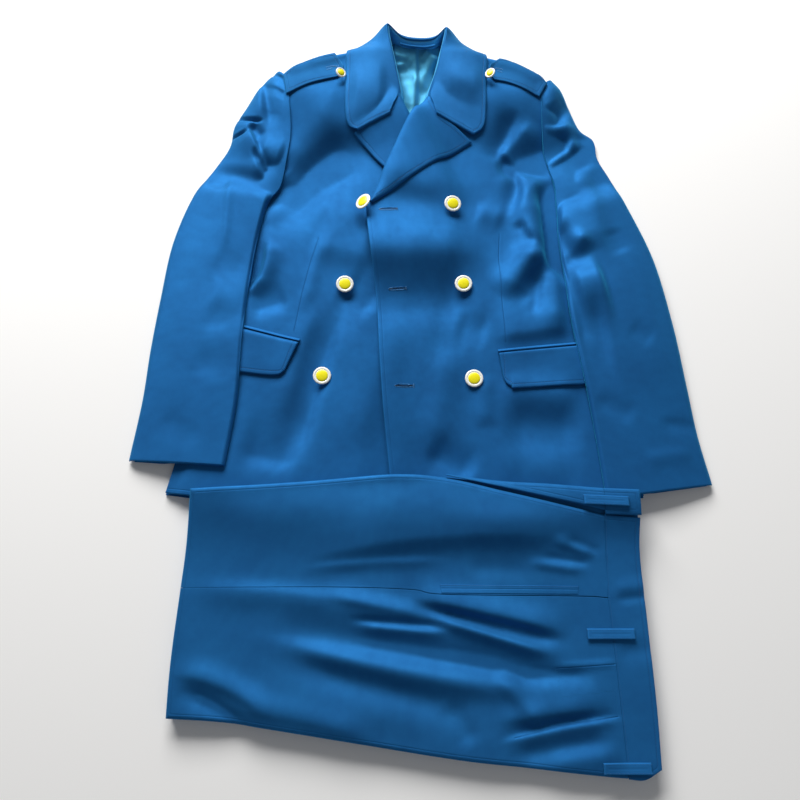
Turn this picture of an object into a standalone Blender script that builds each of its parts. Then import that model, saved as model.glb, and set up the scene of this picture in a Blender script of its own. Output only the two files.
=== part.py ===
"""A double-breasted uniform suit laid out on a table.

The tunic lies on its back, unbuttoned, with one front lapped over the other. The
trousers are folded leg on leg and once more across the knee, and lie over its hem.
Every piece of cloth is a thin wall laid on what is already there, from the table up.
Tables and sizes are in millimetres, seen from above: x to the right, y towards the
collar, z up from the table. Left and right are as seen from above.
"""
import math

import bpy
import numpy as np
from mathutils import Euler, Vector
from mathutils.bvhtree import BVHTree

for leftover in list(bpy.data.objects):
    bpy.data.objects.remove(leftover, do_unlink=True)

# Driving dimensions

MM = 0.001
WALL = 2.2              # cloth with its interlining
THIN_WALL = 1.4         # single cloth of loops, welts and the lining
SEAM = 0.5              # space between two pieces at a seam or where one lies on another
SETTLING = 0.2          # step in which a piece sinks onto what carries it
MIDDLE = (-1.0, 29.5)   # middle of the whole set in the tables' x and y

SHOULDER_TOP = 29.0     # height of the padded shoulders
SHOULDER_FOOT = 5.0     # height of the fronts where that rise starts
SHOULDER_FROM = 318.0   # y of that place
SHOULDER_SPAN = 135.0
COAT_LOFT = 1.8         # air under the fronts

BUTTON_WIDTH = 25.4
STRAP_BUTTON_WIDTH = 16.5
BUTTON_HEIGHT = 6.0

BLUE = (0.020, 0.125, 0.330)
DULL_BLUE = (0.022, 0.115, 0.290)
LINING_BLUE = (0.110, 0.420, 0.640)
GILT = (0.900, 0.690, 0.050)


# Curves in plan

def smooth_step(value):
    clipped = np.clip(value, 0.0, 1.0)
    return clipped * clipped * (3.0 - 2.0 * clipped)


def shares_of(spacing):
    """Shares of a length from 0 to 1: evenly spaced for a count, or the given ones."""
    return np.linspace(0.0, 1.0, spacing) if isinstance(spacing, int) else np.asarray(spacing, float)


def curve_through(points, spacing):
    """Points at those shares of the length of a curve through the given ones."""
    points = np.array(points, float)
    if len(points) > 2:
        before = 2 * points[0] - points[1]
        after = 2 * points[-1] - points[-2]
        knots = np.vstack([before, points, after])
        pieces = []
        t = np.linspace(0.0, 1.0, 12, endpoint=False)[:, None]
        for a, b, c, d in zip(knots, knots[1:], knots[2:], knots[3:]):
            pieces.append(0.5 * (2 * b + (c - a) * t + (2 * a - 5 * b + 4 * c - d) * t**2
                                 + (3 * b - a - 3 * c + d) * t**3))
        points = np.vstack(pieces + [points[-1:]])
    lengths = np.linalg.norm(np.diff(points, axis=0), axis=1)
    travelled = np.concatenate([[0.0], np.cumsum(lengths)])
    wanted = shares_of(spacing) * travelled[-1]
    return np.stack([np.interp(wanted, travelled, axis) for axis in points.T], axis=1)


def patch(south, east, north, west, columns, rows):
    """A grid in plan that fills four edges: (rows, columns, 2)."""
    south, north = (curve_through(edge, columns) for edge in (south, north))
    east, west = (curve_through(edge, rows) for edge in (east, west))
    u = shares_of(columns)[None, :, None]
    v = shares_of(rows)[:, None, None]
    between_sides = (1 - u) * west[:, None] + u * east[:, None]
    between_ends = (1 - v) * south[None] + v * north[None]
    corners = ((1 - u) * (1 - v) * south[0] + u * (1 - v) * south[-1]
               + (1 - u) * v * north[0] + u * v * north[-1])
    return between_sides + between_ends - corners


# The pile on the table

class Pile:
    """The pieces laid so far, asked from above how high they are."""

    def __init__(self):
        self.trees = {}

    def add(self, piece):
        bpy.context.view_layer.update()
        graph = bpy.context.evaluated_depsgraph_get()
        self.trees[piece.name] = BVHTree.FromObject(piece, graph)

    def height(self, x, y, beside=()):
        start = Vector((x * MM, y * MM, 1.0))
        down = Vector((0.0, 0.0, -1.0))
        top = 0.0
        for name, tree in self.trees.items():
            hit = tree.ray_cast(start, down)[0]
            if hit is not None and name not in beside:
                top = max(top, hit.z / MM)
        return top

    def highest(self, plan, reach, beside=()):
        """Height under each point of a grid, the highest within reach of it. What the
        piece lies beside isn't counted."""
        ring = [(0.0, 0.0)]
        for radius in (0.5, 1.0):
            for step in range(8):
                angle = math.tau * step / 8
                ring.append((radius * math.cos(angle), radius * math.sin(angle)))
        found = np.zeros(plan.shape[:-1])
        reaches = np.broadcast_to(reach, found.shape)
        for place in np.ndindex(found.shape):
            x, y = plan[place]
            found[place] = max(self.height(x + reaches[place] * dx, y + reaches[place] * dy, beside)
                               for dx, dy in ring)
        return found

    def drape(self, plan, reach, easing, beside=()):
        """Underside of limp cloth over the pile: steps are eased, and nothing pokes through.
        It touches the table itself, and stays clear of cloth."""
        floor = self.highest(plan, reach, beside)
        floor = floor + SEAM * smooth_step(floor / SEAM)
        height = floor
        for _ in range(easing):
            padded = np.pad(height, 1, mode="edge")
            near = (padded[:-2, 1:-1] + padded[2:, 1:-1] + padded[1:-1, :-2] + padded[1:-1, 2:]) / 4
            height = np.maximum(floor, near)
        return height

    def settle(self, piece):
        """Sinks a piece until it lies a seam's space over the pile, or on the table."""
        bpy.context.view_layer.update()
        made = piece.evaluated_get(bpy.context.evaluated_depsgraph_get()).to_mesh()
        points = np.array([corner.co[:] for corner in made.vertices])
        faces = [tuple(face.vertices) for face in made.polygons]
        sunk = 0.0
        while points[:, 2].min() / MM >= sunk + SETTLING:
            lower = points - (0.0, 0.0, (sunk + SETTLING + SEAM) * MM)
            tree = BVHTree.FromPolygons(lower.tolist(), faces)
            if any(tree.overlap(other) for other in self.trees.values()):
                break
            sunk += SETTLING
        for corner in piece.data.vertices:
            corner.co.z -= sunk * MM


pile = Pile()


# Folds

def relief(plan, folds):
    """Sum of soft ridges and troughs. A fold runs from its first point to its second,
    bowed sideways in between, and has a width of its own on each side."""
    x, y = plan[..., 0], plan[..., 1]
    total = np.zeros(x.shape)
    for from_x, from_y, to_x, to_y, bow, left_width, right_width, height in folds:
        along = np.array([to_x - from_x, to_y - from_y], float)
        length = np.hypot(*along)
        along /= length
        t = ((x - from_x) * along[0] + (y - from_y) * along[1]) / length
        aside = (y - from_y) * along[0] - (x - from_x) * along[1] - bow * 4 * t * (1 - t)
        width = np.where(aside > 0, left_width, right_width)
        ends = smooth_step((t + 0.08) / 0.35) * smooth_step((1.08 - t) / 0.35)
        total += height * ends * np.exp(-(aside / width) ** 2)
    return total


# Pieces

suit = bpy.data.objects.new("suit", None)
suit.location = (-MIDDLE[0] * MM, -MIDDLE[1] * MM, 0.0)
bpy.context.scene.collection.objects.link(suit)


def material(name, colour, roughness, metallic=0.0):
    made = bpy.data.materials.new(name)
    made.use_nodes = True
    shader = made.node_tree.nodes["Principled BSDF"]
    shader.inputs["Base Color"].default_value = (*colour, 1.0)
    shader.inputs["Roughness"].default_value = roughness
    shader.inputs["Metallic"].default_value = metallic
    made.diffuse_color = (*colour, 1.0)
    return made


def piece_from(name, points, faces, colour, roughness=0.6, metallic=0.0):
    """An object of the suit, from points in millimetres."""
    mesh = bpy.data.meshes.new(name)
    mesh.from_pydata((np.asarray(points).reshape(-1, 3) * MM).tolist(), [], faces)
    mesh.shade_smooth()
    mesh.materials.append(material(name, colour, roughness, metallic))
    piece = bpy.data.objects.new(name, mesh)
    piece.parent = suit
    bpy.context.scene.collection.objects.link(piece)
    return piece


def grid_faces(rows, columns, upside_down=False):
    faces = []
    for r in range(rows - 1):
        for c in range(columns - 1):
            a = r * columns + c
            face = (a, a + 1, a + columns + 1, a + columns)
            faces.append(face[::-1] if upside_down else face)
    return faces


def cloth(name, surface, colour, wall=WALL):
    """A wall of cloth under an outer surface, given as a grid (rows, columns, 3)."""
    rows, columns = surface.shape[:2]
    across = surface[0, -1] - surface[0, 0]
    onward = surface[-1, 0] - surface[0, 0]
    upside_down = across[0] * onward[1] - across[1] * onward[0] < 0
    piece = piece_from(name, surface, grid_faces(rows, columns, upside_down), colour)
    wall_of = piece.modifiers.new("wall", "SOLIDIFY")
    wall_of.thickness = wall * MM
    wall_of.offset = -1.0
    pile.settle(piece)
    pile.add(piece)
    return piece


def laid(name, plan, colour, lift=0.0, wall=WALL, reach=12.0, easing=6, at_least=0.0, beside=()):
    """A panel that lies on the pile, lifted by its folds and loft."""
    height = np.maximum(pile.drape(plan, reach, easing, beside) + wall + lift, at_least)
    surface = np.dstack([plan, height])
    return cloth(name, surface, colour, wall)


# Tunic back, flat on the table, with its shoulder edge rolled up to meet the fronts

BACK_SIDE_LEFT = [(-343, -176), (-318, -70), (-272, 100), (-245, 190), (-240, 285),
                  (-214, 325), (-198, 390), (-203, 480)]
BACK_SIDE_RIGHT = [(301, -180), (279, -70), (244, 100), (234, 190), (242, 280),
                   (209, 320), (196, 390), (192, 468)]
BACK_SHOULDERS = [(-203, 480), (-140, 508), (-58, 531), (0, 534), (58, 526), (140, 498), (192, 468)]
HEM = [(-343, -176), (-190, -194), (-20, -199), (170, -192), (301, -180)]
ROLL = [(5.0, 4.0), (9.0, 12.0), (8.0, 20.0)]   # how far out and up each row of the rolled edge is

back_plan = patch(HEM, BACK_SIDE_RIGHT, BACK_SHOULDERS, BACK_SIDE_LEFT, 15, 15)
back_rows = [np.dstack([back_plan, np.full(back_plan.shape[:2], WALL)])]
beside_neck = 0.12 + 0.88 * smooth_step((abs(back_plan[-1, :, 0]) - 50.0) / 40.0)
for out, up in ROLL:
    row = np.column_stack([back_plan[-1, :, 0], back_plan[-1, :, 1] + out, WALL + up * beside_neck])
    back_rows.append(row[None])
cloth("tunic_back", np.vstack(back_rows), BLUE)


# Lining that shows in the open neck, with the pleat down the middle of the back

lining_plan = patch([(-34, 392), (30, 392)], [(30, 392), (47, 450), (54, 524)],
                    [(-56, 528), (0, 531), (54, 524)], [(-34, 392), (-50, 450), (-56, 528)], 9, 9)
LINING_FOLDS = [
    # from x, from y, to x, to y, bow, left width, right width, height
    (-1, 535, -4, 410, 2, 7, 5, 4.0),
    (-34, 520, -14, 420, 4, 8, 8, 2.0),
    (36, 515, 10, 420, -4, 8, 8, 2.5),
]
laid("neck_lining", lining_plan, LINING_BLUE, 1.0 + relief(lining_plan, LINING_FOLDS), THIN_WALL, 4.0, 2)


# The two fronts. The one on the left lies under the other.

FRONT_FOLDS = [
    # from x, from y, to x, to y, bow, left width, right width, height
    (-205, 470, -110, 430, 0, 40, 40, 3.0),
    (-222, 268, -92, 398, 6, 17, 17, -5.0),
    (-222, 236, -165, 290, 6, 16, 14, 7.0),
    (-175, 345, -60, 330, 8, 20, 24, 4.0),
    (-90, 250, -105, 160, -8, 22, 18, 4.0),
    (-140, 220, -200, 150, 6, 20, 24, 4.0),
    (-235, 118, -222, 190, -8, 9, 12, 6.0),
    (-110, 90, -70, -60, 10, 24, 26, 5.0),
    (-200, 120, -240, 60, 0, 20, 20, 4.0),
    (-30, 206, 110, 218, 8, 26, 28, 6.0),
    (110, 218, 124, 120, -4, 20, 22, 5.0),
    (165, 330, 120, 400, 6, 16, 18, 6.0),
    (140, 350, 198, 306, 4, 12, 12, -5.0),
    (150, 190, 205, 320, -8, 10, 13, 8.0),
    (150, 235, 160, 150, -6, 9, 9, -4.0),
    (135, 165, 175, 240, -6, 14, 16, 5.0),
    (55, 130, 20, 60, 6, 20, 24, 5.0),
    (185, 80, 170, 190, 8, 14, 14, 5.0),
    (40, 20, 100, -100, 8, 26, 24, 5.0),
    (170, -20, 230, -140, 0, 26, 26, 4.0),
    (-10, 40, -35, -120, 4, 18, 20, 4.0),
    (-250, -20, -180, -150, 8, 26, 24, 4.0),
]


def front_lift(plan, west):
    """Loft, padded shoulders and folds, all eased down to the side fold."""
    columns = np.linspace(0.0, 1.0, plan.shape[1])
    from_side = smooth_step(columns / 0.16)[None, :] if west else smooth_step((1 - columns) / 0.16)[None, :]
    below_arm = 1.0 - smooth_step((plan[..., 1] - 290.0) / 60.0)
    eased = 1.0 - below_arm * (1.0 - from_side)
    return eased * (COAT_LOFT + np.maximum(relief(plan, FRONT_FOLDS), -COAT_LOFT))


def shoulder_height(plan):
    """The padded shoulders' own height over the table."""
    rise = smooth_step((plan[..., 1] - SHOULDER_FROM) / SHOULDER_SPAN)
    padded = SHOULDER_FOOT + (SHOULDER_TOP - SHOULDER_FOOT) * rise
    return padded + np.maximum(relief(plan, FRONT_FOLDS), -6.0) * rise


def reach_below_roll(plan):
    """Short along the shoulder edge, where the back's rolled edge stands beside the fronts."""
    return np.where(np.arange(plan.shape[0]) > plan.shape[0] - 3, 2.0, 12.0)[:, None]


UNDER_EDGE = [(-40, -197), (-24, -100), (-8, -18), (21, 130), (48, 258), (20, 335), (-13, 403),
              (-34, 452), (-43, 489), (-51, 531)]
UNDER_SIDE = [(-342, -174), (-317, -70), (-271, 100), (-244, 190), (-239, 285), (-209, 325),
              (-199, 390), (-204, 484)]
UNDER_SHOULDER = [(-204, 484), (-140, 512), (-51, 531)]

under_plan = patch([(-342, -174), (-190, -192), (-40, -197)], UNDER_EDGE, UNDER_SHOULDER, UNDER_SIDE, 13, 25)
laid("front_under", under_plan, BLUE, front_lift(under_plan, True), reach=reach_below_roll(under_plan),
     at_least=shoulder_height(under_plan))

UNDER_LAPEL_EDGE = [(44, 264), (4, 288), (-48, 320), (-84, 362), (-98, 380)]
UNDER_LAPEL_ROLL = [(50, 262), (33, 303), (11, 360), (-8, 408), (-27, 447)]
lapel_plan = patch([(44, 264), (50, 262)], UNDER_LAPEL_ROLL, [(-98, 380), (-27, 447)], UNDER_LAPEL_EDGE, 7, 11)
across = np.linspace(0.0, 1.0, 7)[None, :]
laid("lapel_under", lapel_plan, BLUE, 3.0 * np.sin(math.pi * across) + 2.0 * across, reach=6.0, easing=3)

OVER_EDGE = [(-36, -197), (-42, -140), (-50, -60), (-56, 20), (-60, 90), (-66, 150), (-73, 200),
             (-77, 250), (-70, 262), (-44, 327), (-7, 409), (6, 425), (22, 445), (40, 500), (50, 526)]
OVER_SIDE = [(300, -178), (278, -70), (243, 100), (233, 190), (241, 280), (207, 322),
             (197, 390), (193, 472)]
OVER_SHOULDER = [(50, 526), (140, 501), (193, 472)]

over_plan = patch([(-36, -197), (170, -190), (300, -178)], OVER_SIDE, OVER_SHOULDER, OVER_EDGE, 13, 25)
laid("front_over", over_plan, BLUE, front_lift(over_plan, False), reach=reach_below_roll(over_plan),
     at_least=shoulder_height(over_plan))

OVER_LAPEL_EDGE = [(-68, 255), (-6, 301), (52, 343), (84, 366)]
OVER_LAPEL_ROLL = [(-72, 257), (-46, 327), (-9, 409), (4, 424), (17, 443)]
OVER_LAPEL_TOP = [(17, 443), (34, 408), (60, 388), (84, 366)]
lapel_plan = patch([(-72, 257), (-68, 255)], OVER_LAPEL_EDGE, OVER_LAPEL_TOP, OVER_LAPEL_ROLL, 8, 12)
across = np.linspace(0.0, 1.0, 8)[None, :]
laid("lapel_over", lapel_plan, BLUE, 4.0 * np.sin(math.pi * across) + 3.0 * (1 - across), reach=6.0, easing=3)


# Pocket flaps with the welts above them. Their outer ends lie under the sleeves.

def flap(name, top, bottom, inner_end):
    """A flap hangs from its welt. Its free lower corner is rounded by a third point."""
    south, north = bottom, top
    west, east = inner_end
    plan = patch(south, east, north, west, 8, 5)
    laid(name, plan, BLUE, 0.3, reach=7.0, easing=2)


flap("pocket_flap_left", [(-280, 67), (-170, 37)], [(-280, -2), (-205, -11), (-188, -5)],
     ([(-280, -2), (-280, 67)], [(-188, -5), (-170, 37)]))
flap("pocket_flap_right", [(112, 22), (242, 35)], [(121, -20), (134, -31), (242, -23)],
     ([(121, -20), (112, 22)], [(242, -23), (242, 35)]))
welt_plan = patch([(-281, 69), (-169, 38.5)], [(-169, 38.5), (-168, 43)], [(-280, 74), (-168, 43)],
                  [(-281, 69), (-280, 74)], 8, 2)
laid("pocket_welt_left", welt_plan, BLUE, 1.0, THIN_WALL, 6.0, 2, beside=("pocket_flap_left",))
welt_plan = patch([(111, 23.5), (243, 36.5)], [(243, 36.5), (243, 41)], [(111, 28), (243, 41)],
                  [(111, 23.5), (111, 28)], 8, 2)
laid("pocket_welt_right", welt_plan, BLUE, 1.0, THIN_WALL, 6.0, 2, beside=("pocket_flap_right",))


# Collar and stand: one profile carried round the neck, cut at the seam inside the fold

COLLAR = [
    # fold x, fold y, fold height, edge x, edge y, edge height over what it lies on
    (-43, 415, 19, -98, 383, 1),
    (-37, 429, 23, -108, 396, 1),
    (-29, 449, 27, -111, 422, 1),
    (-36, 490, 35, -112, 480, 1),
    (-43, 527, 40, -109, 532, 2),
    (-48, 553, 43, -82, 556, 6),
    (-46, 566, 44, -54, 577, 8),
    (-24, 550, 36, -26, 560, 8),
    (0, 546, 34, 0, 556, 8),
    (27, 547, 36, 29, 557, 8),
    (46, 559, 44, 57, 570, 8),
    (46, 544, 43, 82, 548, 6),
    (41, 522, 40, 109, 520, 2),
    (34, 490, 35, 107, 462, 1),
    (20, 447, 27, 105, 414, 1),
    (24, 426, 23, 102, 386, 1),
    (29, 407, 19, 91, 375, 1),
]
COLLAR_TURN = [
    # share of the way to the edge, drop below the fold
    (-0.06, 4.0), (0.0, 1.0), (0.07, 0.0), (0.25, 0.0), (0.5, 0.0), (0.78, 0.0), (1.0, 0.0),
]


def around_neck(count):
    """The collar's table, read at evenly spaced places round the neck."""
    table = np.array(COLLAR, float)
    return curve_through(table, count)


stations = around_neck(27)
fold_line, fold_height = stations[:, 0:2], stations[:, 2]
edge_line, edge_lift = stations[:, 3:5], stations[:, 5]
collar_plan = np.stack([fold_line + share * (edge_line - fold_line) for share, _ in COLLAR_TURN], axis=1)
floor = pile.drape(collar_plan, 9.0, 2) + WALL
collar_height = np.zeros(floor.shape)
for column, (share, drop) in enumerate(COLLAR_TURN):
    t = max(share, 0.0)
    edge_height = floor[:, -1] + edge_lift
    slope = fold_height + (edge_height - fold_height) * t + 3.0 * math.sin(math.pi * t)
    collar_height[:, column] = np.maximum(slope - drop, floor[:, column])
cloth("collar", np.dstack([collar_plan, collar_height]), BLUE)

inward = -(edge_line - fold_line) / np.linalg.norm(edge_line - fold_line, axis=1)[:, None]
STAND = [
    # step into the neck, share of the way down from the fold to the neck seam
    (4.5, 0.0), (6.0, 0.45), (9.0, 1.0),
]
stand_points = []
for into, share in STAND:
    line = fold_line + inward * into
    top = fold_height - 6.0
    seam_height = 9.5
    stand_points.append(np.column_stack([line, top + (seam_height - top) * share]))
stand_surface = np.stack(stand_points, axis=1)[2:-2]
cloth("collar_stand", stand_surface, BLUE, THIN_WALL)

loop_plan = patch([(-32, 536), (0, 531), (33, 534)], [(33, 534), (33, 539)], [(-32, 541), (0, 536), (33, 539)],
                  [(-32, 536), (-32, 541)], 9, 2)
laid("hanger_loop", loop_plan, BLUE, 0.6, THIN_WALL, 4.0, 2)


# Sleeves: each an under sleeve flat on what it lies on, and a top sleeve arched over it

SLEEVE_LEFT = [
    # outer x, outer y, inner x, inner y, height of the arch, 1 where the inner edge is the armhole seam
    (-397, -130, -263, -139, 13, 0),
    (-387, -45, -252, -50, 15, 0),
    (-383, 30, -250, 30, 16, 0),
    (-376, 110, -247, 110, 18, 0),
    (-366, 198, -239, 196, 20, 0),
    (-342, 277, -228, 258, 22, 0),
    (-312, 328, -214, 300, 22, 1),
    (-292, 366, -207, 338, 20, 1),
    (-287, 403, -202, 375, 18, 1),
    (-268, 440, -203, 413, 16, 1),
    (-244, 482, -206, 452, 12, 1),
    (-224, 500, -209, 484, 6, 1),
]
SLEEVE_RIGHT = [
    (395, -163, 247, -183, 13, 0),
    (383, -96, 240, -108, 14, 0),
    (376, -25, 231, -30, 16, 0),
    (366, 70, 217, 68, 19, 0),
    (348, 172, 213, 140, 21, 0),
    (316, 262, 209, 222, 23, 0),
    (294, 312, 216, 284, 24, 1),
    (279, 345, 209, 325, 24, 1),
    (275, 378, 203, 352, 22, 1),
    (253, 400, 200, 385, 20, 1),
    (234, 456, 198, 430, 16, 1),
    (216, 481, 199, 466, 6, 1),
]
SLEEVE_FOLDS_LEFT = [
    # from x, from y, to x, to y, bow, left width, right width, height
    (-284, 392, -278, 200, -6, 20, 20, 4.0),
    (-270, 388, -220, 300, 8, 12, 20, 7.0),
    (-236, 470, -214, 360, 6, 9, 11, -6.0),
    (-246, 388, -212, 330, 8, 10, 10, 6.0),
    (-300, 330, -330, 200, -10, 20, 20, -3.0),
    (-285, 190, -282, 60, 4, 14, 14, -3.0),
    (-330, 120, -345, -60, 6, 26, 26, 3.0),
]
SLEEVE_FOLDS_RIGHT = [
    (206, 385, 240, 450, 4, 10, 12, -8.0),
    (196, 378, 252, 398, 6, 11, 12, 7.0),
    (196, 352, 250, 372, 6, 13, 13, -6.0),
    (192, 316, 258, 386, 6, 11, 13, 7.0),
    (218, 306, 266, 368, -5, 9, 9, -6.0),
    (262, 330, 268, 170, 4, 10, 12, -5.0),
    (240, 300, 262, 120, 12, 18, 16, 4.0),
    (222, 175, 252, 225, -8, 9, 9, -6.0),
    (232, 75, 262, 185, 12, 15, 22, -9.0),
    (320, 220, 340, -40, 8, 26, 26, 3.0),
]


SLEEVE_STATIONS = 25
UNDER_SLEEVE_INSET = 6.5
ARMPIT_Y = 330.0        # above it the under sleeve lies beside the body and no longer on it
SLEEVE_COLUMNS = 11


def sleeve(side, table, folds):
    """Both layers of one sleeve, from its cuff up to the shoulder."""
    read = curve_through(table, SLEEVE_STATIONS)
    outer, inner, arch, seam = read[:, 0:2], read[:, 2:4], read[:, 4], smooth_step(read[:, 5])
    turn = np.linspace(0.0, 1.0, SLEEVE_COLUMNS)
    share = (1.0 - np.cos(math.pi * turn)) / 2.0
    plan = outer[:, None] + (inner - outer)[:, None] * share[None, :, None]
    foot = pile.drape(plan[:, [0, -1]], np.column_stack([18.0 - 15.0 * seam, 18.0 - 13.0 * seam]), 0) + 1.1

    flat = curve_through(table, np.linspace(0.0, 0.92, 17))
    across = flat[:, 2:4] - flat[:, 0:2]
    inset = across * (UNDER_SLEEVE_INSET / np.linalg.norm(across, axis=1))[:, None]
    flat_share = np.linspace(0.0, 1.0, 9)[None, :, None]
    flat_plan = (flat[:, 0:2] + inset)[:, None] + (across - 2 * inset)[:, None] * flat_share
    past_armpit = smooth_step((flat[:, 3] - ARMPIT_Y) / 45.0)
    laid(f"under_sleeve_{side}", flat_plan, BLUE, reach=(28.0 - 25.0 * past_armpit)[:, None], easing=1)

    clear_of = pile.drape(plan, 14.0, 1) + WALL
    line = foot[:, [0]] * (1.0 - share) + foot[:, [1]] * share
    round_over = np.sin(math.pi * turn) ** 0.6
    flat_to_seam = np.where(turn > 0.5, np.sin(math.pi * turn) ** 1.4, round_over)
    shape = round_over * (1.0 - seam[:, None]) + flat_to_seam * seam[:, None]
    height = line + arch[:, None] * shape + relief(plan, folds) * np.sin(math.pi * turn)
    height[:, 1:-1] = np.maximum(height, clear_of)[:, 1:-1]
    cloth(f"top_sleeve_{side}", np.dstack([plan, height]), BLUE)


sleeve("left", SLEEVE_LEFT, SLEEVE_FOLDS_LEFT)
sleeve("right", SLEEVE_RIGHT, SLEEVE_FOLDS_RIGHT)


# Shoulder straps

STRAP_LEFT = {
    "south": [(-203, 440), (-172, 457), (-146, 467), (-124, 474)],
    "east": [(-124, 474), (-116, 486), (-117, 497), (-130, 519)],
    "north": [(-210, 479), (-182, 503), (-158, 512), (-130, 519)],
    "west": [(-203, 440), (-210, 479)],
}
STRAP_RIGHT = {
    "south": [(120, 468), (142, 462), (165, 451), (189, 437)],
    "east": [(189, 437), (203, 463)],
    "north": [(130, 509), (157, 504), (183, 489), (203, 463)],
    "west": [(120, 468), (113, 480), (115, 496), (130, 509)],
}
for side, edges in (("left", STRAP_LEFT), ("right", STRAP_RIGHT)):
    strap_plan = patch(edges["south"], edges["east"], edges["north"], edges["west"], 9, 5)
    laid(f"shoulder_strap_{side}", strap_plan, BLUE, 2.0, reach=7.0, easing=3)


# Buttons: a rim round a low dome, with a shank beneath

def button(name, x, y, width, lean_x=0.0, lean_y=0.0):
    """Leans are in degrees, to the right and towards the collar."""
    radius = width / 2.0
    profile = [
        # radius, height
        (0.0, 0.0), (0.30, 0.0), (0.34, 0.18), (0.93, 0.26), (1.0, 0.42), (0.93, 0.62),
        (0.78, 0.56), (0.50, 0.86), (0.0, 1.0),
    ]
    sides = 18
    points = []
    for share, up in profile[1:-1]:
        for step in range(sides):
            angle = math.tau * step / sides
            points.append((radius * share * math.cos(angle), radius * share * math.sin(angle), up * BUTTON_HEIGHT))
    low, high = len(points), len(points) + 1
    points += [(0.0, 0.0, 0.0), (0.0, 0.0, BUTTON_HEIGHT)]
    faces = []
    rings = len(profile) - 2
    for ring in range(rings - 1):
        for step in range(sides):
            a, b = ring * sides + step, ring * sides + (step + 1) % sides
            faces.append((a, b, b + sides, a + sides))
    for step in range(sides):
        after = (step + 1) % sides
        faces.append((low, after, step))
        faces.append((high, (rings - 1) * sides + step, (rings - 1) * sides + after))
    leaned = math.sin(math.radians(math.hypot(lean_x, lean_y))) * radius
    around = pile.highest(np.array([[[x, y]]], float), radius)[0, 0]
    turn = Euler((-math.radians(lean_y), math.radians(lean_x), 0.0)).to_matrix()
    points = np.array(points) @ np.array(turn).T + (x, y, around + SEAM + leaned)
    pile.settle(piece_from(name, points, faces, GILT, 0.3, 0.8))


BUTTONS = [
    # x, y, lean to the right, lean towards the collar
    (-78, 258, 16, -20), (-107, 128, 0, 0), (-136, -11, 0, 0),
    (51, 259, 4, 0), (65, 129, 0, 0), (76, -16, 0, 0),
]
for number, (x, y, lean_x, lean_y) in enumerate(BUTTONS, 1):
    button(f"button_{number}", x, y, BUTTON_WIDTH, lean_x, lean_y)
button("strap_button_left", -120, 476, STRAP_BUTTON_WIDTH, -6, -8)
button("strap_button_right", 114, 474, STRAP_BUTTON_WIDTH, 6, -8)


# Trousers: the hidden layers, folded, as one rounded solid with its layers at the edges

STACK = {
    "south": [(-311, -450), (-240, -455), (-120, -472), (35, -494), (130, -504), (215, -513), (262, -516), (284, -506)],
    "east": [(284, -506), (285, -440), (283, -366), (280, -290), (284, -200), (284, -176)],
    "north": [(-301, -173), (-160, -165), (-38, -156), (34, -157), (105, -165), (172, -167), (284, -176)],
    "west": [(-311, -450), (-311, -384), (-307, -310), (-303, -230), (-301, -173)],
}
STACK_THICK = 13.0
STACK_LAYERS = 3        # leaves that show at the stack's edge
LEAF_GROOVE = 2.2       # how far each groove between them goes in


def folded_stack(name, edges, columns, rows):
    """The bottom follows the table, the hem and the cuff; the edge shows a row of leaves."""
    plan = patch(edges["south"], edges["east"], edges["north"], edges["west"], columns, rows)
    bottom = pile.drape(plan, 33.0, 0)
    rows, columns = plan.shape[:2]
    last_row, last_column = rows - 1, columns - 1
    rim = [(0, c) for c in range(columns)]
    rim += [(r, last_column) for r in range(1, rows)]
    rim += [(last_row, c) for c in range(last_column - 1, -1, -1)]
    rim += [(r, 0) for r in range(last_row - 1, 0, -1)]
    around = np.array([plan[place] for place in rim])
    tangent = np.roll(around, -1, axis=0) - np.roll(around, 1, axis=0)
    outward = np.column_stack([tangent[:, 1], -tangent[:, 0]]) / np.linalg.norm(tangent, axis=1)[:, None]
    points = [(*plan[place], bottom[place]) for place in np.ndindex(rows, columns)]
    points += [(*plan[place], bottom[place] + STACK_THICK) for place in np.ndindex(rows, columns)]
    top_start = rows * columns
    index = {place: place[0] * columns + place[1] for place in np.ndindex(rows, columns)}
    levels = []
    steps = 2 * STACK_LAYERS
    for step in range(1, steps):
        shift = 1.5 if step % 2 else 1.5 - LEAF_GROOVE
        level = []
        for place, spot, out in zip(rim, around, outward):
            level.append(len(points))
            points.append((*(spot + shift * out), bottom[place] + STACK_THICK * step / steps))
        levels.append(level)
    rings = [[index[place] for place in rim]] + levels + [[top_start + index[place] for place in rim]]
    faces = [face[::-1] for face in grid_faces(rows, columns)]
    faces += [tuple(top_start + corner for corner in face) for face in grid_faces(rows, columns)]
    for lower, upper in zip(rings, rings[1:]):
        for k in range(len(rim)):
            after = (k + 1) % len(rim)
            faces.append((lower[k], lower[after], upper[after], upper[k]))
    piece = piece_from(name, points, faces, DULL_BLUE)
    pile.add(piece)


STACK_COLUMNS = np.concatenate([np.linspace(0.0, 0.84, 15), [0.88, 0.92, 0.96, 1.0]])
STACK_ROWS = [0.0, 0.14, 0.28, 0.42, 0.56, 0.68, 0.78, 0.84, 0.90, 0.95, 1.0]
folded_stack("trouser_layers", STACK, STACK_COLUMNS, STACK_ROWS)

behind_plan = patch([(48, -182), (150, -200), (238, -216)], [(238, -216), (239, -171)],
                    [(36, -156), (105, -163), (172, -165), (239, -171)], [(48, -182), (36, -156)], 10, 4)
laid("trouser_front_behind", behind_plan, DULL_BLUE, 1.0, reach=9.0, easing=2)
band_plan = patch([(240, -216), (287, -212)], [(287, -212), (286, -173)], [(240, -171), (286, -173)],
                  [(240, -216), (240, -171)], 4, 3)
laid("waistband_behind", band_plan, DULL_BLUE, 1.0, reach=14.0, easing=2)

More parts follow.
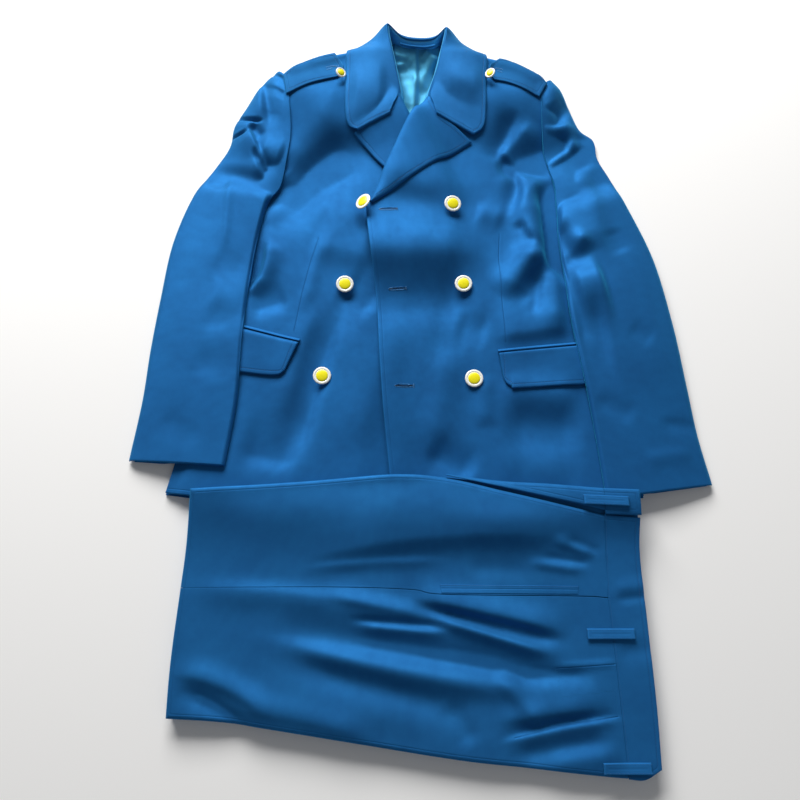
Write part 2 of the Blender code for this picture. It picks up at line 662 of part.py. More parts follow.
TROUSER_FOLDS = [
    # from x, from y, to x, to y, bow, left width, right width, height
    (-120, -283, 60, -270, 14, 10, 16, 5.0),
    (-110, -262, 190, -262, 16, 16, 14, -4.0),
    (-40, -200, 160, -230, 10, 34, 30, 5.0),
    (-15, -308, 180, -362, 4, 12, 9, 9.0),
    (-10, -300, 155, -345, 6, 5, 6, -5.0),
    (-125, -322, 20, -340, -6, 12, 10, 5.0),
    (-60, -338, 170, -378, -8, 16, 16, -4.0),
    (-130, -345, 90, -400, -8, 18, 14, 7.0),
    (-100, -372, 60, -405, -8, 14, 16, -4.0),
    (-300, -345, -255, -348, 0, 22, 26, 4.0),
    (-290, -370, -160, -445, 14, 14, 18, -4.0),
    (90, -452, 220, -432, -6, 12, 9, 6.0),
    (-200, -420, 60, -455, 6, 30, 24, 4.0),
    (-250, -220, -100, -215, 6, 30, 30, 3.0),
]
TROUSER_LOFT = 4.0


def trouser_lift(plan):
    return TROUSER_LOFT + np.maximum(relief(plan, TROUSER_FOLDS), -TROUSER_LOFT)


SIDE_SEAM = [(-309, -297), (-120, -296), (-14, -299), (30, -305), (200, -307), (238, -309)]
front_plan = patch(SIDE_SEAM, [(238, -309), (239, -260), (239, -211)],
                   [(-303, -171), (-160, -162), (-38, -153), (34, -156), (107, -174), (157, -186), (239, -211)],
                   [(-309, -297), (-305, -230), (-303, -171)], 23, 8)
laid("trouser_front", front_plan, DULL_BLUE, trouser_lift(front_plan), reach=10.0, easing=2)
below_seam = [(x, y - 1.6) for x, y in SIDE_SEAM]
seat_plan = patch([(-314, -452), (-240, -457), (-120, -474), (35, -497), (130, -507), (219, -516), (246, -518)],
                  [(246, -518), (242, -400), (238, -310.6)], below_seam,
                  [(-314, -452), (-314, -384), (-309, -298.6)], 23, 10)
laid("trouser_back", seat_plan, DULL_BLUE, trouser_lift(seat_plan), reach=10.0, easing=2)
waist_plan = patch([(248, -518.5), (266, -519), (287, -508)], [(287, -508), (288, -437), (286, -340), (284, -260), (287, -214)],
                   [(240.5, -213), (287, -214)], [(248, -518.5), (243.6, -400), (240, -305), (240.5, -213)], 5, 15)
laid("waistband", waist_plan, DULL_BLUE, 4.0 + relief(waist_plan, TROUSER_FOLDS), reach=10.0, easing=2)

pocket_plan = patch([(26, -304), (200, -305.6)], [(200, -305.6), (201, -295)], [(24, -293), (201, -295)],
                    [(26, -304), (24, -293)], 12, 2)
laid("trouser_pocket_edge", pocket_plan, DULL_BLUE, 0.3, THIN_WALL, 8.0, 1)

LOOPS = [
    # name, left x, left y, right x, right y
    ("belt_loop_top", 211, -190, 269, -194),
    ("belt_loop_middle", 208, -353, 268, -353),
    ("belt_loop_bottom", 216, -506, 274, -506),
]
LOOP_WIDTH = 11.0
for name, left_x, left_y, right_x, right_y in LOOPS:
    half = LOOP_WIDTH / 2.0
    plan = patch([(left_x, left_y - half), (right_x, right_y - half)],
                 [(right_x, right_y - half), (right_x, right_y + half)],
                 [(left_x, left_y + half), (right_x, right_y + half)],
                 [(left_x, left_y - half), (left_x, left_y + half)], 6, 2)
    laid(name, plan, DULL_BLUE, 1.2, THIN_WALL, 8.0, 2)
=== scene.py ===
"""The looks of a double-breasted uniform suit laid out on a pale table.

The pieces of cloth are laid one on another from the table up, each a thin closed shell
over the solid that it stands for. Tables and sizes are in millimetres, seen from above:
x to the right, y towards the collar, z up. Left and right are as seen from above.
"""
import math
from functools import cached_property

import bpy
import numpy as np
from mathutils import Euler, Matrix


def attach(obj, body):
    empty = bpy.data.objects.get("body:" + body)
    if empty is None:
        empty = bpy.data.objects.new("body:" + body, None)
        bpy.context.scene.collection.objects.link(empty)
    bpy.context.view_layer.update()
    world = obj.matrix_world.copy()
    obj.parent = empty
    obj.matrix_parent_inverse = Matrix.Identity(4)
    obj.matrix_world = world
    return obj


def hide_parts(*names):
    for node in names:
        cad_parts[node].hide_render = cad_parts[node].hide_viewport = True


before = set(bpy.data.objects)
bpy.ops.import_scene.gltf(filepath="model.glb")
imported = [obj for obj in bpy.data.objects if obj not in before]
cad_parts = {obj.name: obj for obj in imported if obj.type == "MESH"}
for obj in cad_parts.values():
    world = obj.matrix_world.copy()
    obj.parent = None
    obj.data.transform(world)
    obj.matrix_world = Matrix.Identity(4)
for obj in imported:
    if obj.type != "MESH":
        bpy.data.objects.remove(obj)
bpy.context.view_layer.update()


# Back of the tunic: wool gabardine, pressed, cut in one up to the shoulders. It lies face
# down on the table, and its shoulder edge turns up round the padding to meet the fronts.

MM = 0.001
MIDDLE = (-1.0, 29.5)     # middle of the whole set in the tables' x and y
WALL = 2.2                # cloth with interlining
EDGE_MARGIN = (0.5, 1.2, 2.4)   # rows of points beside an edge
LEAST_FLAT = 0.01         # metres; a welt is narrower than its cut, because it is turned in
FAR = 99.0                # from any edge or sewn line
STITCHED = 6.2            # distance of the rows of stitches from an edge
RIB_PITCH = 1.1           # of the twill
BLUE = (0.017, 0.145, 0.410)
DEEP_BLUE = (0.011, 0.075, 0.230)


def smooth_step(value):
    clipped = np.clip(value, 0.0, 1.0)
    return clipped * clipped * (3.0 - 2.0 * clipped)


def curve_through(points, shares):
    """Points at those shares of the length of a smooth curve through the given ones."""
    points = np.array(points, float)
    if len(points) > 2:
        knots = np.vstack([2 * points[0] - points[1], points, 2 * points[-1] - points[-2]])
        t = np.linspace(0.0, 1.0, 16, endpoint=False)[:, None]
        pieces = []
        for a, b, c, d in zip(knots, knots[1:], knots[2:], knots[3:]):
            pieces.append(0.5 * (2 * b + (c - a) * t + (2 * a - 5 * b + 4 * c - d) * t**2
                                 + (3 * b - a - 3 * c + d) * t**3))
        points = np.vstack(pieces + [points[-1:]])
    travelled = np.concatenate([[0.0], np.cumsum(np.linalg.norm(np.diff(points, axis=0), axis=1))])
    wanted = np.asarray(shares) * travelled[-1]
    return np.stack([np.interp(wanted, travelled, axis) for axis in points.T], axis=1)


def length_of(points):
    return float(np.linalg.norm(np.diff(np.array(points, float), axis=0), axis=1).sum())


def stations(length, step):
    """Shares of a length at about that step, and closer together beside its ends."""
    near = [margin for margin in EDGE_MARGIN if margin < length / 4.0]
    start = near.pop() if near else 0.0
    inner = np.linspace(start, length - start, max(2, int(round((length - 2 * start) / step)) + 1))
    before = [0.0] + near if start else []
    after = [length - margin for margin in reversed([0.0] + near)] if start else []
    return np.concatenate([before, inner, after]) / length


def panel(south, east, north, west, step):
    """A grid of points in plan that fills four edges: (rows, columns, 2)."""
    u = stations((length_of(south) + length_of(north)) / 2.0, step)
    v = stations((length_of(west) + length_of(east)) / 2.0, step)
    south, north = curve_through(south, u), curve_through(north, u)
    west, east = curve_through(west, v), curve_through(east, v)
    u, v = u[None, :, None], v[:, None, None]
    corners = ((1 - u) * (1 - v) * south[0] + u * (1 - v) * south[-1]
               + (1 - u) * v * north[0] + u * v * north[-1])
    return (1 - u) * west[:, None] + u * east[:, None] + (1 - v) * south[None] + v * north[None] - corners


def neighbours(field):
    padded = np.pad(field, 1, mode="edge")
    return padded[:-2, 1:-1], padded[2:, 1:-1], padded[1:-1, :-2], padded[1:-1, 2:]


def between(grid, column, row, ease=None):
    """Values at places between the cells of a grid, straight or eased from cell to cell."""
    c, r = column.astype(int), row.astype(int)
    p, q = column - c, row - r
    if ease:
        p, q = ease(p), ease(q)
    return ((1 - q) * ((1 - p) * grid[r, c] + p * grid[r, c + 1])
            + q * ((1 - p) * grid[r + 1, c] + p * grid[r + 1, c + 1]))


class Table:
    """How high the cloth on the table stands, on a raster of square cells."""

    cell = 2.0
    west, south = -440.0, -600.0
    wide, deep = 880, 1220

    def __init__(self):
        self.height = np.zeros((int(self.deep / self.cell), int(self.wide / self.cell)))

    def read(self, field, plan):
        return between(field, (plan[..., 0] - self.west) / self.cell, (plan[..., 1] - self.south) / self.cell)

    def limp(self, reach, easing, blur):
        """How limp cloth would lie: over each step from within reach of it, eased beside it."""
        raised = self.height
        for _ in range(int(round(reach / self.cell))):
            raised = np.maximum.reduce([raised, *neighbours(raised)])
        eased = raised
        for _ in range(easing):
            eased = np.maximum(raised, sum(neighbours(eased)) / 4.0)
        for _ in range(blur):
            eased = (eased + sum(neighbours(eased)) / 4.0) / 2.0
        return eased

    def under(self, plan, reach=4.0, easing=16, blur=3):
        return self.read(self.limp(reach, easing, blur), plan)

    def lay(self, surface):
        """Raises the raster to a surface, read finely enough to reach every cell below it."""
        spacing = max(np.abs(np.diff(surface[..., :2], axis=axis)).max() for axis in (0, 1))
        finer = max(1, int(math.ceil(spacing / (0.7 * self.cell))))
        for axis in (0, 1):
            count = surface.shape[axis]
            t = np.linspace(0.0, count - 1.0, (count - 1) * finer + 1)
            low = np.minimum(t.astype(int), count - 2)
            share = (t - low).reshape((-1, 1, 1) if axis == 0 else (1, -1, 1))
            surface = (1 - share) * surface.take(low, axis) + share * surface.take(low + 1, axis)
        r = np.rint((surface[..., 1] - self.south) / self.cell).astype(int)
        c = np.rint((surface[..., 0] - self.west) / self.cell).astype(int)
        np.maximum.at(self.height, (r, c), surface[..., 2])


table = Table()


class Field:
    """A socket of a shader's nodes. Expressions on fields add their Math nodes."""

    def __init__(self, nodes, socket):
        self.nodes = nodes
        self.socket = socket

    def math(self, operation, *values):
        return self.nodes.add("ShaderNodeMath", {"operation": operation}, dict(enumerate(values)))["Value"]

    def __add__(self, other):
        return self.math("ADD", self, other)

    def __sub__(self, other):
        return self.math("SUBTRACT", self, other)

    def __mul__(self, other):
        return self.math("MULTIPLY", self, other)

    def __truediv__(self, other):
        return self.math("DIVIDE", self, other)

    def __rsub__(self, other):
        return self.math("SUBTRACT", other, self)

    def __rtruediv__(self, other):
        return self.math("DIVIDE", other, self)

    __radd__ = __add__
    __rmul__ = __mul__

    def sine(self):
        return self.math("SINE", self)

    def bell(self, width):
        """1 where the field is 0, falling off softly over that width."""
        ratio = self / width
        return self.math("EXPONENT", ratio * ratio * -1.0)


class Finish:
    """One material: a Principled shader and the nodes that feed it."""

    def __init__(self, name):
        self.material = bpy.data.materials.new(name)
        self.material.use_nodes = True
        self.tree = self.material.node_tree
        self.shader = self.tree.nodes["Principled BSDF"]

    def add(self, kind, settings, sockets):
        node = self.tree.nodes.new(kind)
        for key, value in settings.items():
            setattr(node, key, value)
        for key, value in sockets.items():
            self.feed(node.inputs[key], value)
        return {output.name: Field(self, output) for output in node.outputs if output.enabled}

    def feed(self, socket, value):
        if isinstance(value, Field):
            self.tree.links.new(value.socket, socket)
        else:
            socket.default_value = value

    @cached_property
    def place(self):
        """Where a point is on its own piece."""
        return self.add("ShaderNodeTexCoord", {}, {})["Object"]

    def noise(self, scale, detail, **more):
        """Unevenness from 0 to 1."""
        sockets = {"Vector": self.place, "Scale": scale, "Detail": detail, **more}
        return self.add("ShaderNodeTexNoise", {}, sockets)["Fac"]

    def measure(self, name):
        """What the piece's points say under that name."""
        return self.add("ShaderNodeAttribute", {"attribute_name": name}, {})["Fac"]

    def set(self, **values):
        """Feeds the shader: base_color=, roughness= and so on."""
        names = {"specular": "Specular IOR Level", "sheen": "Sheen Weight"}
        for key, value in values.items():
            self.feed(self.shader.inputs[names.get(key, key.replace("_", " ").title())], value)

    def paint(self, blend, colour, shade, height, **values):
        """Colour that turns to its shade by the blend, a height in millimetres, and the rest."""
        mixed = self.add("ShaderNodeMix", {"data_type": "RGBA"},
                         {0: blend, 6: (*colour, 1.0), 7: (*shade, 1.0)})
        bump = self.add("ShaderNodeBump", {}, {"Strength": 1.0, "Distance": MM, "Height": height})
        self.set(base_color=mixed["Result"], normal=bump["Normal"], **values)
        return self.material


def gabardine(name, colour, shade, grain, metallic=0.42, roughness=0.60):
    """Twilled wool with a satin finish. Its ribs run across the grain, given in degrees.
    Sewn lines sink in where the piece's attributes say how far they are."""
    finish = Finish(name)
    turned = finish.add("ShaderNodeMapping", {},
                        {"Vector": finish.place, "Rotation": (0.0, 0.0, math.radians(grain))})
    axes = finish.add("ShaderNodeSeparateXYZ", {}, {"Vector": turned["Vector"]})
    rib = ((axes["X"] + axes["Y"] * 0.55) * (math.tau / (RIB_PITCH * MM))).sine()
    yarn = finish.noise(1500.0, 2.0)
    cloud = finish.noise(11.0, 4.0, Roughness=0.6)
    worn = finish.noise(90.0, 5.0)
    edge = finish.measure("from_edge")
    stitched = (edge - STITCHED).bell(0.8)
    sewn = finish.measure("from_seam").bell(0.8)
    # The colour turns lighter within about two millimetres of every finished edge.
    lighter_beside_edge = edge.bell(1.6)
    blend = (cloud - 0.5) * 1.1 + (worn - 0.5) * 0.4 + rib * 0.06 + lighter_beside_edge * -0.25
    blend = blend + sewn * 0.3 + stitched * 0.12 + 0.35
    height = rib * 0.05 + yarn * 0.05 + worn * 0.06 - stitched * 0.22 - sewn * 0.4
    for key, value in (("Specular Tint", (0.08, 0.75, 1.0, 1.0)), ("Sheen Roughness", 0.4),
                       ("Sheen Tint", (0.05, 0.66, 1.0, 1.0))):
        finish.shader.inputs[key].default_value = value
    return finish.paint(blend, colour, shade, height, metallic=metallic, sheen=0.3, specular=0.08,
                        roughness=(cloud - 0.5) * 0.16 + (worn - 0.5) * 0.08 + roughness)


def placed(name, data):
    """A new object with that mesh, light or camera."""
    piece = bpy.data.objects.new(name, data)
    bpy.context.scene.collection.objects.link(piece)
    return piece


def made(name, points, faces, materials=(), edges=(), **attributes):
    """A smooth object of points given in millimetres on the table."""
    mesh = bpy.data.meshes.new(name)
    mesh.from_pydata(((points - (*MIDDLE, 0.0)) * MM).tolist(), edges, faces)
    mesh.shade_smooth()
    for material in materials:
        mesh.materials.append(material)
    for key, values in attributes.items():
        mesh.attributes.new(key, "FLOAT", "POINT").data.foreach_set("value", values)
    return placed(name, mesh)


def grid_faces(rows, columns):
    """The faces of a grid of points, and its rim once round."""
    index = np.arange(rows * columns).reshape(rows, columns)
    quads = np.stack([index[:-1, :-1], index[:-1, 1:], index[1:, 1:], index[1:, :-1]], -1).reshape(-1, 4)
    return quads, np.concatenate([index[0], index[1:, -1], index[-1, -2::-1], index[-2:0:-1, 0]])


def shell(name, top, bottom, material, from_edge=None, from_seam=None):
    """A closed shell between two grids of points, in millimetres."""
    quads, rim = grid_faces(*top.shape[:2])
    count = top.shape[0] * top.shape[1]
    after = np.roll(rim, -1)
    sides = np.stack([rim + count, after + count, after, rim], -1)
    faces = np.concatenate([quads, quads[:, ::-1] + count, sides])
    one, other = (top[1:, 1:] - top[:-1, :-1])[..., :2], (top[1:, :-1] - top[:-1, 1:])[..., :2]
    if (one[..., 0] * other[..., 1] - one[..., 1] * other[..., 0]).sum() < 0:
        faces = faces[:, ::-1]
    far = np.full(top.shape[:2], FAR)
    edge, seam = (np.tile((far if values is None else values).reshape(-1), 2)
                  for values in (from_edge, from_seam))
    points = np.concatenate([top.reshape(-1, 3), bottom.reshape(-1, 3)])
    return made(name, points, faces.tolist(), [material], from_edge=edge, from_seam=seam)


def declare(piece, node, top, upright=False):
    """Hangs the piece from the root and hides the part that it stands for. It also measures the
    size and area of its cut, in plan unless the piece stands upright, but keeps neither."""
    cut = top * (MM, MM, MM if upright else 0.0)
    width = max(length_of(cut[0]), length_of(cut[-1]), length_of(cut[len(cut) // 2]))
    length = max(length_of(cut[:, 0]), length_of(cut[:, -1]), length_of(cut[:, cut.shape[1] // 2]))
    corners = np.cross(cut[1:, 1:] - cut[:-1, :-1], cut[1:, :-1] - cut[:-1, 1:])
    area = float(np.linalg.norm(corners, axis=-1).sum()) / 2.0
    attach(piece, "root")
    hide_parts(node)
    flat = (round(max(width, LEAST_FLAT), 3), round(max(length, LEAST_FLAT), 3))
    area = min(round(area, 6), 0.99 * flat[0] * flat[1])


BACK_SIDE_LEFT = [(-343, -176), (-318, -70), (-272, 100), (-245, 190), (-240, 285),
                  (-214, 325), (-198, 390), (-203, 480)]
BACK_SIDE_RIGHT = [(301, -180), (279, -70), (244, 100), (234, 190), (242, 280),
                   (209, 320), (196, 390), (192, 468)]
BACK_SHOULDERS = [(-203, 480), (-140, 508), (-58, 531), (0, 534), (58, 526), (140, 498), (192, 468)]
HEM = [(-343, -176), (-190, -194), (-20, -199), (170, -192), (301, -180)]
SHOULDER_ROLL = [(2.0, 0.8), (5.0, 4.0), (8.5, 10.0), (9.0, 15.0), (8.0, 20.0)]   # each row's way out and up

tunic_blue = gabardine("tunic_gabardine", BLUE, DEEP_BLUE, 0.0)
back_plan = panel(HEM, BACK_SIDE_RIGHT, BACK_SHOULDERS, BACK_SIDE_LEFT, 7.0)
back_rows = [np.dstack([back_plan, np.full(back_plan.shape[:2], WALL)])]
beside_neck = 0.12 + 0.88 * smooth_step((abs(back_plan[-1, :, 0]) - 50.0) / 40.0)
for out, up in SHOULDER_ROLL:
    row = np.column_stack([back_plan[-1, :, 0], back_plan[-1, :, 1] + out, WALL + up * beside_neck])
    back_rows.append(row[None])
back_top = np.vstack(back_rows)
back_bottom = back_top.copy()
back_bottom[..., 2] = 0.0
turned_up = slice(-len(SHOULDER_ROLL), None)
back_bottom[turned_up, :, 1] -= 2.0
back_bottom[turned_up, :, 2] = back_top[turned_up, :, 2] - 0.9
back = shell("tunic_back_cloth", back_top, back_bottom, tunic_blue)
declare(back, "tunic_back", back_top)
table.lay(back_top)


# Lining that shows in the open neck: light blue satin, sewn in with a pleat for ease down
# the middle of the back. It is thin, so it falls in small shiny folds.

LINING_BLUE = (0.062, 0.300, 0.480)
LINING_SHADE = (0.028, 0.180, 0.330)
LINING_FOLDS = [
    (-3, 548, -8, 408, 3, 4, 12, 5.0),
    (-34, 532, -18, 440, 5, 10, 9, 3.0),
    (33, 528, 2, 470, -4, 10, 12, 5.0),
    (16, 540, 8, 520, 0, 5, 5, 2.0),
    (28, 470, 4, 410, 2, 7, 7, 2.5),
    (-38, 530, -14, 524, 0, 5, 5, 2.5),
    (-34, 512, -18, 516, 0, 4, 5, 1.5),
    (12, 536, 37, 518, 0, 5, 6, 2.5),
]
THIN_WALL = 1.4           # single cloth
LEAST_HEIGHT = 0.4        # of cloth over the table
LEAST_WALL = 0.3          # at a rounded edge
SEAM_SPACE = 0.4          # between two pieces where one lies on another
PAST_ENDS = 0.08          # share of its length by which a fold runs past its ends
FADING = 0.35             # share of its length over which it rises at either end


def relief(plan, folds):
    """Sum of soft ridges and troughs. A row of a table of folds gives from x, from y, to x,
    to y, bow, left width, right width and height. A fold runs from its first point to its
    second, bowed sideways in between, and has a width of its own on each side."""
    x, y = plan[..., 0], plan[..., 1]
    total = np.zeros(x.shape)
    for from_x, from_y, to_x, to_y, bow, left_width, right_width, height in folds:
        along = np.array([to_x - from_x, to_y - from_y], float)
        length = np.hypot(*along)
        along /= length
        t = ((x - from_x) * along[0] + (y - from_y) * along[1]) / length
        aside = (y - from_y) * along[0] - (x - from_x) * along[1] - bow * 4 * t * (1 - t)
        width = np.where(aside > 0, left_width, right_width)
        ends = smooth_step((t + PAST_ENDS) / FADING) * smooth_step((1.0 + PAST_ENDS - t) / FADING)
        total += height * ends * np.exp(-(aside / width) ** 2)
    return total


def unevenness(plan, size, seed):
    """Soft unevenness of pressed cloth, from -1 to 1, in patches of that size."""
    grid = np.random.default_rng(seed).uniform(-1.0, 1.0, (int(1300 / size) + 3, int(900 / size) + 3))
    return between(grid, (plan[..., 0] - Table.west) / size, (plan[..., 1] - Table.south) / size, smooth_step)


def rows_from(surface, side):
    """The rows of a grid, counted from one of its sides, and their distance from it."""
    rows = surface if side in "sn" else surface.transpose(1, 0, 2)
    if side in "ne":
        rows = rows[::-1]
    lengths = np.linalg.norm(np.diff(rows[..., :2], axis=0), axis=-1)
    return rows, np.concatenate([np.zeros((1, rows.shape[1])), np.cumsum(lengths, 0)])


def from_sides(surface, sides):
    """Distance of each point of a grid from the nearest of those sides of it."""
    distance = np.full(surface.shape[:2], FAR)
    for side in sides:
        travelled = rows_from(surface, side)[1]
        if side in "ne":
            travelled = travelled[::-1]
        distance = np.minimum(distance, travelled if side in "sn" else travelled.T)
    return distance


def rounded(height, distance, edge=1.5):
    """That height, rounded off towards the sides over that radius."""
    inside = np.clip(edge - distance, 0.0, edge)
    return height - (edge - np.sqrt(edge**2 - inside**2))


def sunk(height, plan, wall, beside=2):
    """That height, lowered until the cloth touches the pile somewhere off its rim."""
    room = (height - wall - table.read(table.height, plan))[2:-2, beside:-2].min() - SEAM_SPACE
    return height - max(room, 0.0)


def cloth(node, plan, height, material, rests_on, slot="tunic_cloth", wall=WALL, sides="news", edge=1.5,
          seam=None, settle=True, upright=False):
    """A panel with that outer height. Its finished sides are rounded; it sinks onto the pile."""
    if settle:
        height = sunk(height, plan, wall)
    distance = from_sides(plan, sides)
    top_height = np.maximum(rounded(height, distance, edge), LEAST_HEIGHT)
    top = np.dstack([plan, top_height])
    bottom = np.dstack([plan, np.maximum(np.minimum(height - wall, top_height - LEAST_WALL), 0.0)])
    piece = shell(node + "_cloth", top, bottom, material, distance, seam)
    declare(piece, node, top, upright=upright)
    table.lay(top)
    return top


def satin(name, colour, shade):
    """Weft-faced satin: smooth, shiny, with a faint crosswise thread."""
    finish = Finish(name)
    axes = finish.add("ShaderNodeSeparateXYZ", {}, {"Vector": finish.place})
    thread = (axes["Y"] * (math.tau / (0.5 * MM))).sine()
    slub = finish.noise(60.0, 4.0)
    return finish.paint((slub - 0.5) * 0.8 + 0.15, colour, shade, thread * 0.012 + slub * 0.3,
                        metallic=0.4, specular=0.03, roughness=(slub - 0.5) * 0.1 + 0.50)


LINING_CLIMB = 12.0       # up the inside of the stand

lining_plan = panel([(-34, 392), (30, 392)], [(30, 392), (47, 450), (52, 500), (39, 550)],
                    [(-41, 557), (-22, 542), (0, 538), (26, 539), (39, 550)],
                    [(-34, 392), (-50, 450), (-55, 505), (-41, 557)], 1.8)
inside_stand = 1.0 - smooth_step((np.abs(lining_plan[..., 0]) - 36.0) / 9.0)
climb = LINING_CLIMB * smooth_step((lining_plan[..., 1] - 500.0) / 38.0) * inside_stand
lining_folds = 1.25 * relief(lining_plan, LINING_FOLDS) + 0.8 * unevenness(lining_plan, 11.0, 15)
lining_height = table.under(lining_plan) + THIN_WALL + 1.5 + climb + lining_folds
cloth("neck_lining", lining_plan, lining_height, satin("lining_satin", LINING_BLUE, LINING_SHADE),
      ["tunic_back"], "lining_satin", 0.8, "")


# The front that lies under the other: gabardine over canvas, padded at the shoulder, with
# a dart down to the pocket. It is cut in one with the lapel's ground, and hangs limp below.

COAT_LOFT = 8.0
SHOULDER_TOP = 29.0
SHOULDER_FOOT = 5.0
SHOULDER_FROM = 318.0
SHOULDER_SPAN = 135.0
FRONT_ROLL = 4.0          # radius of the shoulder's edge, where the front meets the back
ARMPIT = 290.0            # below it a front lies flat beside its side fold
SIDE_EASE = 26.0
BREAK = 250.0             # where the lapels turn; below it a front lies flat beside the lap
LAP_EASE = 60.0
EASE_SPAN = 60.0          # over which either easing sets in
FOLD_STRENGTH = 1.3
COAT_PATCHES = [(0.45, 46.0), (0.08, 17.0)]
CHEST_LEFT_FOLDS = [
    (-205, 468, -110, 430, 0, 40, 40, 3.0),
    (-206, 325, -108, 412, 0, 45, 26, 6.0),
    (-246, 234, -88, 386, 0, 34, 44, -11.0),
    (-236, 238, -196, 270, 0, 12, 20, 4.5),
    (-236, 320, -172, 298, 0, 26, 16, 4.0),
    (-150, 312, -84, 318, 0, 14, 16, -2.0),
    (-250, 208, -250, 122, 0, 24, 10, -7.0),
    (-226, 204, -247, 116, 13, 16, 6, 7.0),
    (-240, 92, -190, 106, 0, 32, 14, -4.5),
    (-143, 206, -170, 84, 3, 12, 8, 1.8),
    (-152, 200, -64, 172, 0, 50, 24, 5.0),
    (-112, 120, -64, 90, 0, 34, 20, -4.0),
    (-116, 84, -168, -130, -4, 12, 25, -6.0),
    (-150, 92, -186, -66, -3, 12, 20, 3.0),
    (-244, -118, -168, -130, 0, 46, 16, -4.5),
    (-104, 80, -78, -110, 6, 26, 30, 3.5),
    (-160, 262, -84, 232, 0, 26, 26, 2.5),
]
LEFT_DART = [(-147, 205), (-158, 165), (-168, 118), (-178, 54)]
UNDER_EDGE = [(-40, -197), (-24, -100), (-8, -18), (21, 130), (48, 258), (20, 335), (-13, 403),
              (-34, 452), (-43, 489), (-51, 534)]
UNDER_SIDE = [(-342, -174), (-317, -70), (-271, 100), (-244, 190), (-239, 285), (-209, 325),
              (-199, 390), (-204, 487)]
UNDER_SHOULDER = [(-204, 487), (-140, 515), (-51, 534)]


def soft_folds(plan, folds, patches, seed, strength=1.0):
    """Folds, and the cloth's unevenness in patches, each given by height and size."""
    total = strength * relief(plan, folds)
    for number, (height, size) in enumerate(patches):
        total += height * unevenness(plan, size, seed + number)
    return total


def from_line(plan, line):
    """Distance of each point from a sewn line, with a sign for its side, FAR past its ends."""
    best = np.full(plan.shape[:2], FAR)
    for start, end in zip(np.array(line, float), np.array(line, float)[1:]):
        along = end - start
        length = np.hypot(*along)
        t = ((plan - start) @ along) / length**2
        aside = ((plan[..., 1] - start[1]) * along[0] - (plan[..., 0] - start[0]) * along[1]) / length
        nearer = (t >= -0.02) & (t <= 1.02) & (np.abs(aside) < np.abs(best))
        best = np.where(nearer, aside, best)
    return best


def quarter_round(value):
    """Rises from 0 to 1 as a quarter of a circle does."""
    left = 1.0 - np.clip(value, 0.0, 1.0)
    return np.sqrt(1.0 - left * left)


def soft_maximum(one, other, blend=1.5):
    """The higher of two heights, with the corner between them rounded."""
    spread = np.sqrt((one - other) ** 2 + blend**2)
    return (one + other + spread) / 2.0


def front_height(plan, west, folds, seed):
    """Loft, padded shoulder and folds, eased down to the side fold and under the overlap."""
    below_arm = 1.0 - smooth_step((plan[..., 1] - ARMPIT) / EASE_SPAN)
    eased = 1.0 - below_arm * (1.0 - smooth_step(from_sides(plan, "w" if west else "e") / SIDE_EASE))
    if west:
        below_neck = 1.0 - smooth_step((plan[..., 1] - BREAK) / EASE_SPAN)
        eased *= 1.0 - below_neck * (1.0 - smooth_step(from_sides(plan, "e") / LAP_EASE))
    shape = soft_folds(plan, folds, COAT_PATCHES, seed, FOLD_STRENGTH)
    rise = smooth_step((plan[..., 1] - SHOULDER_FROM) / SHOULDER_SPAN)
    padded = SHOULDER_FOOT + (SHOULDER_TOP - SHOULDER_FOOT) * rise
    lying = table.under(plan, reach=8.0, easing=80, blur=60) + WALL
    height = soft_maximum(lying + eased * COAT_LOFT, padded, 6.0) + eased * shape
    rolled = quarter_round(from_sides(plan, "n") / FRONT_ROLL)
    return lying + (soft_maximum(height, lying, 1.0) - lying) * rolled


under_plan = panel([(-342, -174), (-190, -192), (-40, -197)], UNDER_EDGE, UNDER_SHOULDER, UNDER_SIDE, 3.2)
cloth("front_under", under_plan, front_height(under_plan, True, CHEST_LEFT_FOLDS, 3), tunic_blue,
      ["tunic_back", "neck_lining"], sides="se", seam=from_line(under_plan, LEFT_DART))


# The lapel of that front: its top, turned out along the roll line and pressed, with a row
# of stitches beside its edge. Only its tip shows below the collar.

UNDER_LAPEL_EDGE = [(44, 264), (4, 288), (-48, 320), (-84, 362), (-98, 380)]
UNDER_LAPEL_ROLL = [(50, 262), (33, 303), (11, 360), (-8, 408), (-27, 447)]


